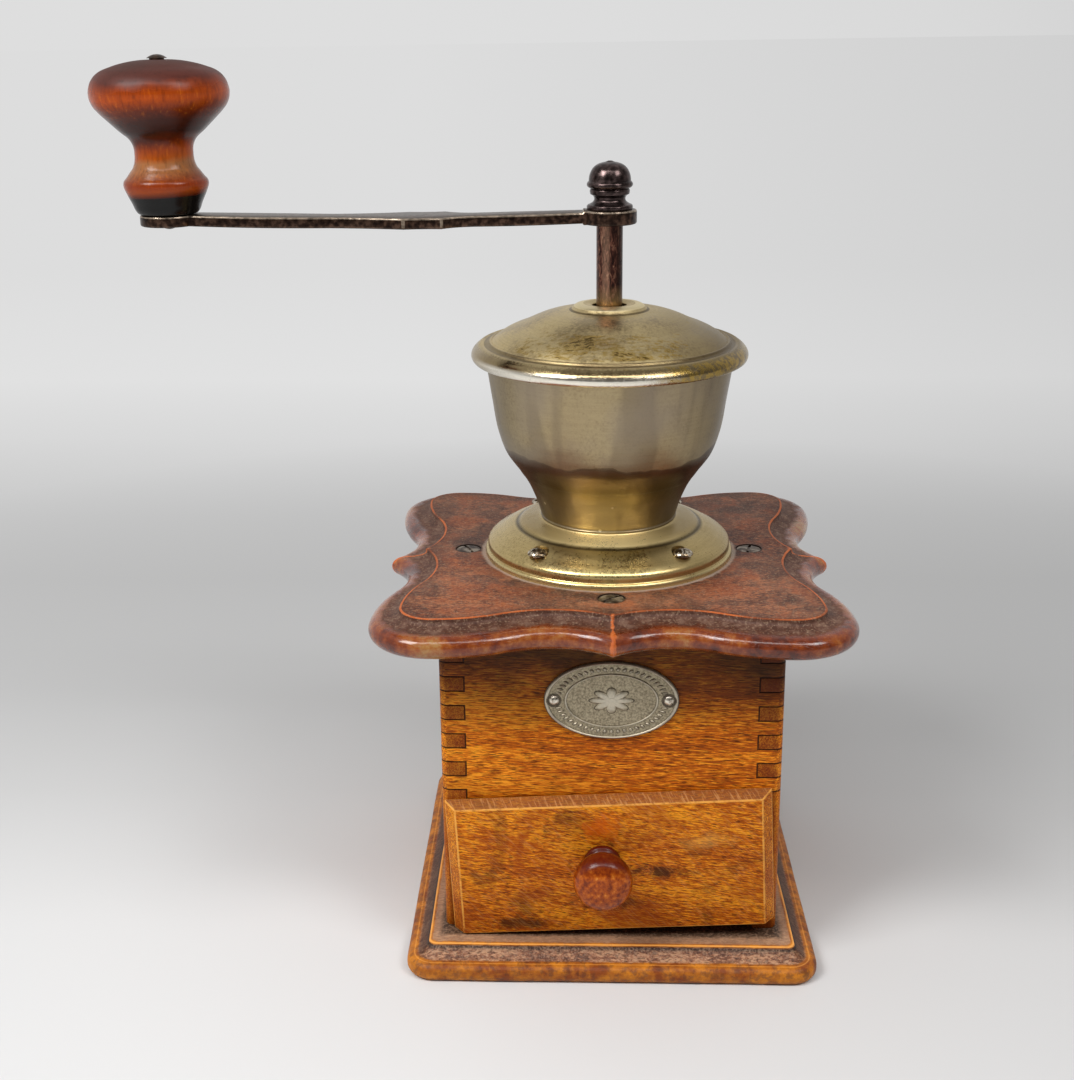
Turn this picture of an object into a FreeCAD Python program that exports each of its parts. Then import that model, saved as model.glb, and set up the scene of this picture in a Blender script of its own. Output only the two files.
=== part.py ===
"""A box coffee mill: wooden case with a drawer, brass hopper, and a hand crank over a cone burr.

Millimetres, +Z up. The origin is on the mill's axis at the underside of the base board, the drawer
opens towards -Y, and the crank points along -X.
"""
import FreeCAD, Part
import math
import os

import Sketcher

Vector = FreeCAD.Vector
Rotation = FreeCAD.Rotation
doc = FreeCAD.newDocument("CoffeeMill")

# Driving sizes, each one a cell of the sheet
SIZES = {
    # Base board: moulded edge and a raised panel that carries the case
    "base_width": 130.0,
    "base_front": 70.6,
    "base_back": 65.0,
    "base_corner": 9.0,
    "base_edge_height": 5.7,
    "base_edge_round": 2.4,
    "base_slope_inset": 1.0,
    "base_slope_height": 3.0,
    "base_panel_inset": 7.0,
    "base_panel_height": 1.0,
    "base_panel_corner": 2.5,
    # Case: four boards joined with fingers at the corners
    "case_width": 106.0,
    "case_height": 100.6,
    "case_board": 7.8,
    "case_corner": 2.6,
    "drawer_opening": 45.5,
    "finger_height": 4.8,
    "top_finger": 3.9,
    # Top board: four-lobed outline with a cusp in the middle of each side
    "lid_board_thickness": 9.9,
    "lobe_overhang": 21.0,
    "lobe_corner": 20.0,
    "cusp_inset": 1.0,
    "valley_dip": 7.0,
    "valley_place": 18.0,
    "nose_depth": 3.5,
    "nose_height": 7.0,
    "cove_depth": 6.0,
    "cove_height": 1.9,
    "throat_bore": 21.5,
    # Wood screws
    "wood_screw_shank": 1.4,
    "wood_screw_head": 4.0,
    "wood_screw_cone": 2.4,
    "wood_screw_slot": 0.9,
    "wood_screw_slot_depth": 0.8,
    "screw_clearance": 0.05,
    "top_screw_circle": 46.7,
    "top_screw_length": 27.0,
    "base_screw_place": 28.0,
    "base_screw_length": 24.0,
    # Brass flange of the hopper
    "sheet": 0.9,
    "flange_radius": 40.8,
    "flange_lip": 39.0,
    "flange_lip_height": 5.3,
    "flange_wall": 1.8,
    "flange_turn": 4.0,
    "flange_bulge": 0.45,
    "flange_crease": 30.0,
    "flange_crease_height": 9.9,
    "flange_ring": 21.3,
    "flange_height": 12.4,
    # Brass hopper bowl
    "bowl_foot": 22.2,
    "bowl_waist": 28.2,
    "bowl_waist_height": 14.7,
    "bowl_belly": 33.4,
    "bowl_belly_height": 22.1,
    "bowl_shoulder": 36.3,
    "bowl_shoulder_height": 31.5,
    "bowl_rim": 39.6,
    "bowl_height": 56.7,
    "spigot_radius": 20.2,
    "spigot_height": 8.6,
    # Brass lid
    "lid_hole": 6.7,
    "lid_collar": 10.4,
    "lid_collar_foot": 12.5,
    "lid_collar_height": 1.9,
    "lid_collar_bulge": 1.5,
    "lid_collar_turn": 0.5,
    "lid_kink": 28.0,
    "lid_dome_height": 4.4,
    "lid_dome_bulge": 0.9,
    "lid_bead": 38.4,
    "lid_bead_drop": 5.9,
    "lid_ledge_width": 1.8,
    "lid_rim": 44.3,
    "lid_rim_drop": 4.5,
    "lid_rim_bulge_out": 1.7,
    "lid_rim_bulge_up": 0.8,
    "lid_skirt": 2.7,
    "lid_skirt_bulge": 0.2,
    "lid_skirt_tuck": 1.35,
    "lid_seat_gap": 0.3,
    # Screws through flange, board and mill frame
    "frame_screw_circle": 35.5,
    "frame_screw_angle": 50.0,
    "frame_screw_radius": 1.7,
    "frame_screw_head": 3.3,
    "frame_screw_dome": 1.7,
    "frame_screw_slot": 0.9,
    "frame_screw_end": 1.2,
    "nut_width": 6.4,
    "nut_height": 2.8,
    # Upper bearing: a strap across the throat with an eye round the shaft
    "strap_half_width": 4.0,
    "strap_end": 3.8,
    "strap_thickness": 2.4,
    "eye_radius": 8.5,
    "eye_rise": 6.0,
    "eye_drop": 4.5,
    # Burr housing under the top board
    "plate_radius": 40.0,
    "plate_thickness": 3.4,
    "barrel_radius": 22.5,
    "barrel_length": 23.4,
    "mouth_radius": 20.2,
    "mouth_depth": 8.9,
    "ring_top": 16.1,
    "ring_bottom": 19.4,
    "burr_gap": 0.9,
    "burr_rise": 0.6,
    "burr_crown": 7.6,
    "burr_crown_height": 19.5,
    "burr_neck": 9.6,
    "burr_neck_height": 17.0,
    "burr_cone_height": 13.4,
    "tooth_depth": 1.2,
    "tooth_half_width": 0.9,
    "tooth_height": 8.0,
    "tooth_count": 18.0,
    # Yoke under the housing, with the adjusting screw
    "yoke_reach": 39.5,
    "yoke_leg": 25.2,
    "yoke_half_width": 6.0,
    "yoke_drop": 35.4,
    "yoke_bar": 4.0,
    "yoke_wall": 3.2,
    "yoke_boss": 7.5,
    "yoke_boss_drop": 2.0,
    "adjuster_radius": 4.0,
    "adjuster_rise": 4.0,
    "adjuster_cup": 2.6,
    "adjuster_cup_depth": 2.2,
    "wheel_radius": 13.0,
    "wheel_thickness": 4.0,
    "wheel_drop": 9.5,
    "wheel_notch": 1.6,
    "wheel_notches": 10.0,
    "ball_radius": 2.4,
    "thrust_gap": 0.05,
    # Leaf spring that holds the adjusting wheel
    "spring_thickness": 0.7,
    "spring_root": 25.0,
    "spring_bend": 17.5,
    "spring_tip": 11.0,
    "spring_width": 3.0,
    "spring_gap": 0.8,
    "spring_rivet_place": 21.0,
    "spring_rivet_radius": 1.3,
    "spring_rivet_head": 2.2,
    "spring_rivet_dome": 0.8,
    # Shaft and crank
    "shaft_radius": 4.15,
    "bearing_gap": 0.08,
    "fit_gap": 0.04,
    "pin_radius": 1.5,
    "pin_height": 6.0,
    "pin_half_length": 7.0,
    "tang_half_width": 2.7,
    "stud_radius": 2.3,
    "stud_length": 6.0,
    "arm_height": 227.9,
    "crank_radius": 139.5,
    "hub_radius": 8.5,
    "hub_thickness": 4.4,
    "arm_end_radius": 9.0,
    "arm_thickness": 3.4,
    "arm_hub_step": 0.5,
    "arm_bow": 0.9,
    "arm_end_rise": 0.9,
    "arm_neck": 4.4,
    "arm_inner_half": 5.4,
    "arm_waist": 5.0,
    "arm_waist_place": 41.0,
    "cusp_half_width": 9.7,
    "inner_cusp_place": 52.0,
    "outer_cusp_place": 64.0,
    "cusp_hollow": 9.0,
    "arm_shoulder_back": 1.7,
    "arm_shoulder_dip": 0.85,
    "arm_outer_waist": 5.3,
    "arm_outer_waist_place": 88.0,
    "arm_swell": 6.2,
    "arm_end_neck": 4.9,
    # Cap nut on the shaft
    "cap_bore_gap": 0.1,
    "cap_flange": 7.1,
    "cap_flange_edge": 1.6,
    "cap_flange_top": 6.0,
    "cap_flange_height": 2.3,
    "cap_neck": 4.8,
    "cap_neck_height": 4.5,
    "cap_collar": 6.2,
    "cap_collar_height": 6.5,
    "cap_bead": 7.1,
    "cap_bead_height": 7.8,
    "cap_dome": 6.4,
    "cap_dome_height": 10.0,
    "cap_height": 15.0,
    # Turned wooden knob of the crank
    "knob_gap": 0.35,
    "knob_height": 46.9,
    "knob_belly": 21.5,
    "knob_belly_height": 37.8,
    "knob_crown": 18.4,
    "knob_crown_height": 43.1,
    "knob_crown_bulge_out": 1.15,
    "knob_crown_bulge_up": 0.7,
    "knob_under": 19.0,
    "knob_under_height": 31.3,
    "knob_throat": 9.8,
    "knob_throat_height": 22.2,
    "knob_neck": 9.1,
    "knob_neck_height": 18.2,
    "knob_flare": 9.8,
    "knob_flare_height": 14.5,
    "knob_foot_top": 12.4,
    "knob_foot_top_height": 11.1,
    "knob_foot": 13.2,
    "knob_foot_height": 9.1,
    "knob_foot_under": 12.6,
    "knob_foot_under_height": 7.0,
    "knob_base": 9.3,
    "rivet_radius": 2.3,
    "rivet_running_gap": 0.1,
    "rivet_head": 3.2,
    "rivet_head_height": 1.2,
    "rivet_foot": 2.9,
    "rivet_foot_height": 1.3,
    # Badge on the front board
    "badge_half_width": 20.7,
    "badge_half_height": 12.75,
    "badge_thickness": 0.7,
    "badge_rim": 1.1,
    "badge_rim_height": 0.5,
    "badge_drop": 20.9,
    "nail_place": 17.6,
    "nail_radius": 0.8,
    "nail_head": 1.6,
    "nail_dome": 0.8,
    "nail_length": 6.0,
    # Drawer, which lies tipped in its wide opening on the lower left edge
    "drawer_tip": 2.8,
    "drawer_face_width": 95.5,
    "drawer_face_height": 43.8,
    "drawer_side_bevel": 3.3,
    "drawer_top_bevel": 1.5,
    "drawer_front_edge": 1.2,
    "drawer_front_thickness": 5.2,
    "drawer_front_gap": 0.3,
    "drawer_floor_gap": 0.2,
    "drawer_box_width": 84.0,
    "drawer_box_height": 38.5,
    "drawer_box_length": 93.0,
    "drawer_wall": 5.0,
    "drawer_floor": 3.0,
    # Turned drawer knob and its screw
    "pull_place": 2.6,
    "pull_rise": 2.4,
    "pull_collar": 5.9,
    "pull_collar_length": 2.0,
    "pull_neck": 4.6,
    "pull_neck_length": 4.4,
    "pull_back": 7.6,
    "pull_back_length": 7.6,
    "pull_head": 9.1,
    "pull_head_length": 12.0,
    "pull_front": 6.2,
    "pull_front_length": 16.2,
    "pull_length": 17.6,
    "pull_screw_radius": 1.8,
    "pull_screw_head": 3.6,
    "pull_screw_dome": 1.6,
    "pull_screw_depth": 9.0,
}


class Size:
    """A length or count, with the sheet expression that works it out."""

    def __init__(self, value, text):
        self.value = float(value)
        self.text = text

    def join(self, other, sign, value):
        return Size(value, "(%s %s %s)" % (self.text, sign, other.text))

    def __add__(self, other):
        other = as_size(other)
        return self.join(other, "+", self.value + other.value)

    def __sub__(self, other):
        other = as_size(other)
        return self.join(other, "-", self.value - other.value)

    def __mul__(self, other):
        other = as_size(other)
        return self.join(other, "*", self.value * other.value)

    def __truediv__(self, other):
        other = as_size(other)
        return self.join(other, "/", self.value / other.value)

    def __rsub__(self, other):
        return as_size(other) - self

    def __neg__(self):
        return Size(-self.value, "(-1 * %s)" % self.text)

    __radd__ = __add__
    __rmul__ = __mul__


def as_size(number):
    """A Size for a plain number."""
    return number if isinstance(number, Size) else Size(number, repr(float(number)))


def root(size):
    return Size(math.sqrt(size.value), "sqrt(%s)" % size.text)


def sine(angle):
    return Size(math.sin(math.radians(angle.value)), "sin(%s * 1 deg)" % angle.text)


def cosine(angle):
    return Size(math.cos(math.radians(angle.value)), "cos(%s * 1 deg)" % angle.text)


def whole(size):
    """The size rounded down to a whole number."""
    return Size(math.floor(size.value), "floor(%s)" % size.text)


class Sheet:
    """The driving sizes in a spreadsheet, read back by name."""

    def __init__(self, sizes):
        cells = doc.addObject("Spreadsheet::Sheet", "Sizes")
        for row, (name, value) in enumerate(sizes.items(), start=1):
            cells.set("A%d" % row, name.replace("_", " "))
            cells.set("B%d" % row, str(value))
            cells.setAlias("B%d" % row, name)
        doc.recompute()

    def __getattr__(self, name):
        return Size(SIZES[name], "Sizes." + name)


size = Sheet(SIZES)

# Heights that several pieces share
case_foot = size.base_edge_height + size.base_slope_height + size.base_panel_height
case_top = case_foot + size.case_height
board_top = case_top + size.lid_board_thickness
opening_top = case_foot + size.drawer_opening
case_half = size.case_width / 2
case_inside = case_half - size.case_board
wall_middle = case_half - size.case_board / 2
badge_level = case_top - size.badge_drop
plate_under = case_top - size.plate_thickness
barrel_end = case_top - size.barrel_length
yoke_bar_top = case_top - size.yoke_drop
yoke_bar_under = yoke_bar_top - size.yoke_bar
flange_top = board_top + size.flange_height
arm_top = size.arm_height + size.hub_thickness


def bind(thing, path, number):
    """Hold one property of an object to the sheet."""
    thing.setExpression(path, as_size(number).text)


def place(thing, x=0, y=0, z=0, axis=None, angle=0):
    """Put an object at a place worked out from the sheet, turned about one axis."""
    turn = Rotation(Vector(*axis), as_size(angle).value) if axis else Rotation()
    spot = Vector(as_size(x).value, as_size(y).value, as_size(z).value)
    thing.Placement = FreeCAD.Placement(spot, turn)
    for letter, number in (("x", x), ("y", y), ("z", z)):
        if isinstance(number, Size):
            bind(thing, "Placement.Base." + letter, number)
    if isinstance(angle, Size):
        bind(thing, "Placement.Rotation.Angle", angle)


def new_body(name):
    body = doc.addObject("PartDesign::Body", name)
    body.Label = name
    return body


def origin_part(body, role):
    """A plane or axis of the body's own origin."""
    return next(part for part in body.Origin.OriginFeatures if part.Role == role)


def new_sketch(body, role, height=0):
    """An empty sketch on an origin plane of the body, lifted along the plane's normal."""
    sketch = body.newObject("Sketcher::SketchObject", body.Name + "_sketch")
    sketch.AttachmentSupport = [(origin_part(body, role), "")]
    sketch.MapMode = "FlatFace"
    if isinstance(height, Size):
        sketch.AttachmentOffset = FreeCAD.Placement(Vector(0, 0, height.value), Rotation())
        bind(sketch, "AttachmentOffset.Base.z", height)
    return sketch


def hold_point(sketch, geometry, end, point):
    """Hold one end of a line or arc at its place; a plain zero puts it on the sketch's axis."""
    limits = []
    for number, kind, axis in ((point[0], "DistanceX", -2), (point[1], "DistanceY", -1)):
        if isinstance(number, Size):
            dimension = Sketcher.Constraint(kind, -1, 1, geometry, end, number.value)
            limits.append((dimension, number.text))
        else:
            limits.append((Sketcher.Constraint("PointOnObject", geometry, end, axis), None))
    return limits


def add_limits(sketch, limits):
    first = len(sketch.Constraints)
    sketch.addConstraint([limit for limit, text in limits])
    for index, (limit, text) in enumerate(limits, start=first):
        if text:
            sketch.setExpression("Constraints[%d]" % index, text)


def spot(point):
    return Vector(as_size(point[0]).value, as_size(point[1]).value, 0)


VIA = "via"


def draw(sketch, stations):
    """Draw a closed outline through stations; one marked VIA is on the arc between its neighbours."""
    corners = [index for index, station in enumerate(stations) if VIA not in station]
    edges = []
    limits = []
    for here, index in enumerate(corners):
        after = corners[(here + 1) % len(corners)]
        start = stations[index]
        end = stations[after]
        middle = stations[index + 1] if (index + 1) % len(stations) != after else None
        if middle:
            shape = Part.Arc(spot(start), spot(middle), spot(end))
        else:
            shape = Part.LineSegment(spot(start), spot(end))
        edge = sketch.addGeometry(shape, False)
        forward = sketch.getPoint(edge, 1).distanceToPoint(spot(start)) < 1e-6
        edges.append((edge, 1 if forward else 2, 2 if forward else 1))
        limits += hold_point(sketch, edge, edges[-1][1], start)
        if middle:
            mark = sketch.addGeometry(Part.Point(spot(middle)), True)
            limits += hold_point(sketch, mark, 1, middle)
            limits.append((Sketcher.Constraint("PointOnObject", mark, 1, edge), None))
    for here, (edge, start, end) in enumerate(edges):
        following = edges[(here + 1) % len(edges)]
        join = Sketcher.Constraint("Coincident", edge, end, following[0], following[1])
        limits.append((join, None))
    add_limits(sketch, limits)


def draw_box(sketch, left, right, low, high):
    draw(sketch, [(left, low), (right, low), (right, high), (left, high)])


def draw_circle(sketch, x, y, radius):
    circle = sketch.addGeometry(Part.Circle(spot((x, y)), Vector(0, 0, 1), radius.value), False)
    limits = hold_point(sketch, circle, 3, (x, y))
    limits.append((Sketcher.Constraint("Radius", circle, radius.value), radius.text))
    add_limits(sketch, limits)


def shifted(stations, across, up):
    return [(u + across, v + up, *mark) for u, v, *mark in stations]


def backwards(stations):
    return stations[::-1]


def dome(radius, foot, top):
    """Stations of a round cap that rises to the axis of a turned piece, after its foot."""
    rise = top - foot
    sphere = (radius * radius + rise * rise) / (rise * 2)
    share = radius / (sphere * 2)
    return [(radius / 2, top - sphere + sphere * root(1 - share * share), VIA), (0, top)]


def pad(body, sketch, length, symmetric=False):
    feature = body.newObject("PartDesign::Pad", body.Name + "_pad")
    feature.Profile = sketch
    feature.SideType = "Symmetric" if symmetric else "One side"
    bind(feature, "Length", length)
    doc.recompute()
    return feature


def pocket(body, sketch, length=None, upwards=False):
    """Cut a sketch out of the body, to a depth, or right through both ways."""
    before = body.Shape.Volume
    feature = body.newObject("PartDesign::Pocket", body.Name + "_pocket")
    feature.Profile = sketch
    feature.Reversed = upwards
    if length:
        bind(feature, "Length", length)
    else:
        feature.SideType = "Symmetric"
        feature.Type = "ThroughAll"
    doc.recompute()
    if body.Shape.Volume >= before:
        raise ValueError("nothing was cut from " + body.Label)
    return feature


def revolve(body, sketch, axis="V_Axis"):
    feature = body.newObject("PartDesign::Revolution", body.Name + "_turning")
    feature.Profile = sketch
    feature.ReferenceAxis = (sketch, [axis])
    feature.Angle = 360
    doc.recompute()
    return feature


def turned(name, stations):
    """A body turned about its Z axis from a half section of (radius, height) stations."""
    body = new_body(name)
    sketch = new_sketch(body, "XZ_Plane")
    draw(sketch, stations)
    revolve(body, sketch)
    return body


def ruled_loft(body, first, second):
    feature = body.newObject("PartDesign::AdditiveLoft", body.Name + "_loft")
    feature.Profile = first
    feature.Sections = [second]
    feature.Ruled = True
    doc.recompute()
    return feature


def row_down(body, feature, pitch, count):
    """Repeat a feature downwards."""
    pattern = body.newObject("PartDesign::LinearPattern", body.Name + "_row")
    pattern.Originals = [feature]
    pattern.Direction = (origin_part(body, "Z_Axis"), [""])
    pattern.Reversed = True
    bind(pattern, "Length", pitch * (count - 1))
    bind(pattern, "Occurrences", count)
    body.Tip = pattern
    doc.recompute()


def ring_of(body, feature, count):
    """Repeat a feature evenly round the Z axis."""
    pattern = body.newObject("PartDesign::PolarPattern", body.Name + "_ring")
    pattern.Originals = [feature]
    pattern.Axis = (origin_part(body, "Z_Axis"), [""])
    pattern.Angle = 360
    bind(pattern, "Occurrences", count)
    body.Tip = pattern
    doc.recompute()


def compound(name, members):
    """One node that holds several like pieces, each its own solid."""
    group = doc.addObject("Part::Compound", name)
    group.Links = members
    group.Label = name
    doc.recompute()
    return group


def rounded_box(left, right, low, high, radius):
    """Stations of a rectangle with round corners."""
    bulge = radius - radius / root(as_size(2))
    return [
        (left + radius, low),
        (right - radius, low),
        (right - bulge, low + bulge, VIA),
        (right, low + radius),
        (right, high - radius),
        (right - bulge, high - bulge, VIA),
        (right - radius, high),
        (left + radius, high),
        (left + bulge, high - bulge, VIA),
        (left, high - radius),
        (left, low + radius),
        (left + bulge, low + bulge, VIA),
    ]


# Base board: thick moulded plank with a rounded nose, a slope and a raised panel
def base_outline(body, inset, radius, height):
    side = size.base_width / 2 - inset
    sketch = new_sketch(body, "XY_Plane", height)
    draw(sketch, rounded_box(-side, side, inset - size.base_front, size.base_back - inset, radius))
    return sketch


base_board = new_body("base_board")
base_edge_sketch = base_outline(base_board, as_size(0), size.base_corner, 0)
base_edge = pad(base_board, base_edge_sketch, size.base_edge_height)
nose = base_board.newObject("PartDesign::Fillet", "base_nose")
nose.Base = (
    base_edge,
    [
        "Edge%d" % number
        for number, edge in enumerate(base_edge.Shape.Edges, start=1)
        if edge.BoundBox.ZLength < 1e-6
    ],
)
bind(nose, "Radius", size.base_edge_round)
doc.recompute()
slope_corner = size.base_corner - size.base_slope_inset
slope_top = size.base_edge_height + size.base_slope_height
slope_inset = size.base_slope_inset + size.base_edge_round
slope_foot = base_outline(base_board, slope_inset, slope_corner, size.base_edge_height)
slope_head = base_outline(base_board, size.base_panel_inset, size.base_panel_corner, slope_top)
ruled_loft(base_board, slope_foot, slope_head)
panel = base_outline(base_board, size.base_panel_inset, size.base_panel_corner, slope_top)
pad(base_board, panel, size.base_panel_height)

# Countersunk wood screws that hold the case down, driven up through the base
screw_hole = size.wood_screw_shank + size.screw_clearance
head_hole = size.wood_screw_head + size.screw_clearance
base_screw_places = [
    (x, y)
    for x in (wall_middle, -wall_middle)
    for y in (size.base_screw_place, -size.base_screw_place)
]
base_holes = new_sketch(base_board, "XY_Plane")
for x, y in base_screw_places:
    draw_circle(base_holes, x, y, screw_hole)
pocket(base_board, base_holes)
for x, y in base_screw_places:
    sink = base_board.newObject("PartDesign::SubtractiveCone", "base_sink")
    bind(sink, "Radius1", head_hole)
    bind(sink, "Radius2", screw_hole)
    bind(sink, "Height", size.wood_screw_cone + size.screw_clearance)
    sink.AttachmentSupport = [(origin_part(base_board, "XY_Plane"), "")]
    sink.MapMode = "FlatFace"
    bind(sink, "AttachmentOffset.Base.x", x)
    bind(sink, "AttachmentOffset.Base.y", y)
    doc.recompute()


def wood_screw(name, length):
    """A slotted countersunk screw, head up, with its head's face at Z 0."""
    tip = size.wood_screw_shank * 2
    body = turned(
        name,
        [
            (0, -length),
            (size.wood_screw_shank, tip - length),
            (size.wood_screw_shank, -size.wood_screw_cone),
            (size.wood_screw_head, 0),
            (0, 0),
        ],
    )
    slot = new_sketch(body, "XY_Plane")
    reach = size.wood_screw_head * 2
    half = size.wood_screw_slot / 2
    draw_box(slot, -reach, reach, -half, half)
    pocket(body, slot, size.wood_screw_slot_depth)
    return body


base_screws = []
for number, (x, y) in enumerate(base_screw_places, start=1):
    screw = wood_screw("base_screw_%d" % number, size.base_screw_length)
    place(screw, x, y, 0, axis=(1, 0, 0), angle=180)
    base_screws.append(screw)


# Case boards: the side boards' fingers show on the front and back
finger_pitch = size.finger_height * 2
top_tail = case_top - size.top_finger
front_tails = whole((top_tail + size.finger_height - opening_top) / finger_pitch) + 1
front_gaps = whole((top_tail - opening_top) / finger_pitch) + 1
back_tails = whole((top_tail + size.finger_height - case_foot) / finger_pitch) + 1
back_gaps = whole((top_tail - case_foot) / finger_pitch) + 1


def top_screw_hole(body, x, y):
    """Hole in a case board's upper edge for the screw through the top board."""
    sketch = new_sketch(body, "XY_Plane", case_top)
    draw_circle(sketch, x, y, screw_hole)
    pocket(body, sketch, size.top_screw_length - size.lid_board_thickness + size.wood_screw_shank)


def side_board(name, sign):
    """Left or right board over the full depth, notched at both ends for the other boards."""
    bulge = size.case_corner - size.case_corner / root(as_size(2))
    body = new_body(name)
    plan = new_sketch(body, "XY_Plane", case_foot)
    draw(
        plan,
        [
            (sign * case_inside, -case_half),
            (sign * (case_half - size.case_corner), -case_half),
            (sign * (case_half - bulge), bulge - case_half, VIA),
            (sign * case_half, size.case_corner - case_half),
            (sign * case_half, case_half - size.case_corner),
            (sign * (case_half - bulge), case_half - bulge, VIA),
            (sign * (case_half - size.case_corner), case_half),
            (sign * case_inside, case_half),
        ],
    )
    pad(body, plan, size.case_height)
    for end, count in ((-1, front_tails), (1, back_tails)):
        notch = new_sketch(body, "YZ_Plane")
        inner = end * case_inside
        outer = end * (case_half + size.case_board)
        draw_box(notch, inner, outer, top_tail, top_tail + size.finger_height)
        row_down(body, pocket(body, notch), finger_pitch, count)
    top_screw_hole(body, sign * size.top_screw_circle, 0)
    for y in (size.base_screw_place, -size.base_screw_place):
        hole = new_sketch(body, "XY_Plane", case_foot)
        draw_circle(hole, sign * wall_middle, y, screw_hole)
        depth = size.base_screw_length - case_foot + size.wood_screw_shank
        pocket(body, hole, depth, upwards=True)
    return body


def end_board(name, sign, foot, count):
    """Front or back board between notches, with its tails in the side boards' notches."""
    bulge = size.case_corner - size.case_corner / root(as_size(2))
    body = new_body(name)
    plan = new_sketch(body, "XY_Plane", foot)
    draw(
        plan,
        [
            (-case_half, sign * case_inside),
            (-case_half, sign * (case_half - size.case_corner)),
            (bulge - case_half, sign * (case_half - bulge), VIA),
            (size.case_corner - case_half, sign * case_half),
            (case_half - size.case_corner, sign * case_half),
            (case_half - bulge, sign * (case_half - bulge), VIA),
            (case_half, sign * (case_half - size.case_corner)),
            (case_half, sign * case_inside),
        ],
    )
    pad(body, plan, case_top - foot)
    for end in (-1, 1):
        notch = new_sketch(body, "XZ_Plane")
        inner = end * case_inside
        outer = end * (case_half + size.case_board)
        draw_box(notch, inner, outer, top_tail - size.finger_height, top_tail)
        row_down(body, pocket(body, notch), finger_pitch, count)
    top_screw_hole(body, 0, sign * size.top_screw_circle)
    return body


side_board_left = side_board("side_board_left", -1)
side_board_right = side_board("side_board_right", 1)
front_board = end_board("front_board", -1, opening_top, front_gaps)
back_board = end_board("back_board", 1, case_foot, back_gaps)

# Top board: lobed outline of arcs that all move in together, so that every ring keeps its arcs
NOSE_STEPS = 6
COVE_STEPS = 3
lobe_reach = case_half.value + size.lobe_overhang.value
corner_centre = lobe_reach - size.lobe_corner.value
valley_half = size.valley_place.value
valley_dip = size.valley_dip.value
valley_radius = (valley_half**2 + valley_dip**2) / (2 * valley_dip)
swell_fall = size.cusp_inset.value + valley_dip
valley_centre = lobe_reach - swell_fall + valley_radius
swell_run = corner_centre - valley_half
swell_radius = (swell_run**2 + swell_fall**2) / (2 * swell_fall) - valley_radius
swell_centre = lobe_reach - swell_radius


def arc_about(x, y, radius, start, end, height):
    """An arc from one angle to another, in degrees, on a level plane."""
    points = []
    for angle in (start, (start + end) / 2, end):
        turn = math.radians(angle)
        points.append(Vector(x + radius * math.cos(turn), y + radius * math.sin(turn), height))
    return Part.Arc(*points).toShape()


def lobed_ring(inset, height):
    """The top board's outline, moved in from its widest line."""
    lean = math.degrees(math.atan2(swell_run, valley_centre - swell_centre))
    hollow = valley_radius + inset
    cusp_angle = math.degrees(math.asin(valley_half / hollow))
    quarter = [
        arc_about(-corner_centre, -corner_centre, size.lobe_corner.value - inset, 180, 270, height),
        arc_about(-corner_centre, -swell_centre, swell_radius - inset, 270, 270 + lean, height),
        arc_about(-valley_half, -valley_centre, hollow, 90 + lean, 90 - cusp_angle, height),
        arc_about(valley_half, -valley_centre, hollow, 90 + cusp_angle, 90 - lean, height),
        arc_about(corner_centre, -swell_centre, swell_radius - inset, 270 - lean, 270, height),
    ]
    edges = []
    for turn in range(4):
        for edge in quarter:
            copy = edge.copy()
            copy.rotate(Vector(0, 0, 0), Vector(0, 0, 1), 90 * turn)
            edges.append(copy)
    return Part.Wire(edges)


def board_edge():
    """Insets and heights of the moulded edge: a half-round nose, a cove and a small step."""
    half = size.nose_height.value / 2
    rings = []
    for step in range(NOSE_STEPS + 1):
        angle = math.pi * (step / NOSE_STEPS - 0.5)
        inset = size.nose_depth.value * (1 - math.cos(angle))
        rings.append((inset, half * (1 + math.sin(angle))))
    for step in range(1, COVE_STEPS + 1):
        angle = math.pi / 2 * step / COVE_STEPS
        inset = size.nose_depth.value + size.cove_depth.value * math.sin(angle)
        rise = size.cove_height.value * (1 - math.cos(angle))
        rings.append((inset, size.nose_height.value + rise))
    rings.append((rings[-1][0], size.lid_board_thickness.value))
    return rings


rings = [lobed_ring(inset, case_top.value + rise) for inset, rise in board_edge()]
top_shape = Part.makeLoft(rings, True, True)


def cylinder_at(x, y, low, high, radius):
    return Part.makeCylinder(radius, high - low, Vector(x, y, low))


frame_screw_places = [
    (
        sign_x * size.frame_screw_circle * cosine(size.frame_screw_angle),
        sign_y * size.frame_screw_circle * sine(size.frame_screw_angle),
    )
    for sign_x, sign_y in ((1, 1), (-1, 1), (-1, -1), (1, -1))
]
top_screw_places = [
    (size.top_screw_circle, 0),
    (-size.top_screw_circle, 0),
    (0, size.top_screw_circle),
    (0, -size.top_screw_circle),
]
frame_hole = size.frame_screw_radius + size.screw_clearance
low = case_top.value
high = board_top.value
holes = [cylinder_at(0, 0, low, high, size.throat_bore.value)]
for x, y in frame_screw_places:
    holes.append(cylinder_at(x.value, y.value, low, high, frame_hole.value))
for x, y in top_screw_places:
    x = as_size(x).value
    y = as_size(y).value
    holes.append(cylinder_at(x, y, low, high, screw_hole.value))
    depth = size.wood_screw_cone.value + size.screw_clearance.value
    sink_foot = Vector(x, y, high - depth)
    holes.append(Part.makeCone(screw_hole.value, head_hole.value, depth, sink_foot))
top_board = doc.addObject("Part::Feature", "top_board")
top_board.Label = "top_board"
top_board.Shape = top_shape.cut(holes)

top_board_screws = []
for number, (x, y) in enumerate(top_screw_places, start=1):
    screw = wood_screw("top_board_screw_%d" % number, size.top_screw_length)
    place(screw, x, y, board_top)
    top_board_screws.append(screw)

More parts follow.
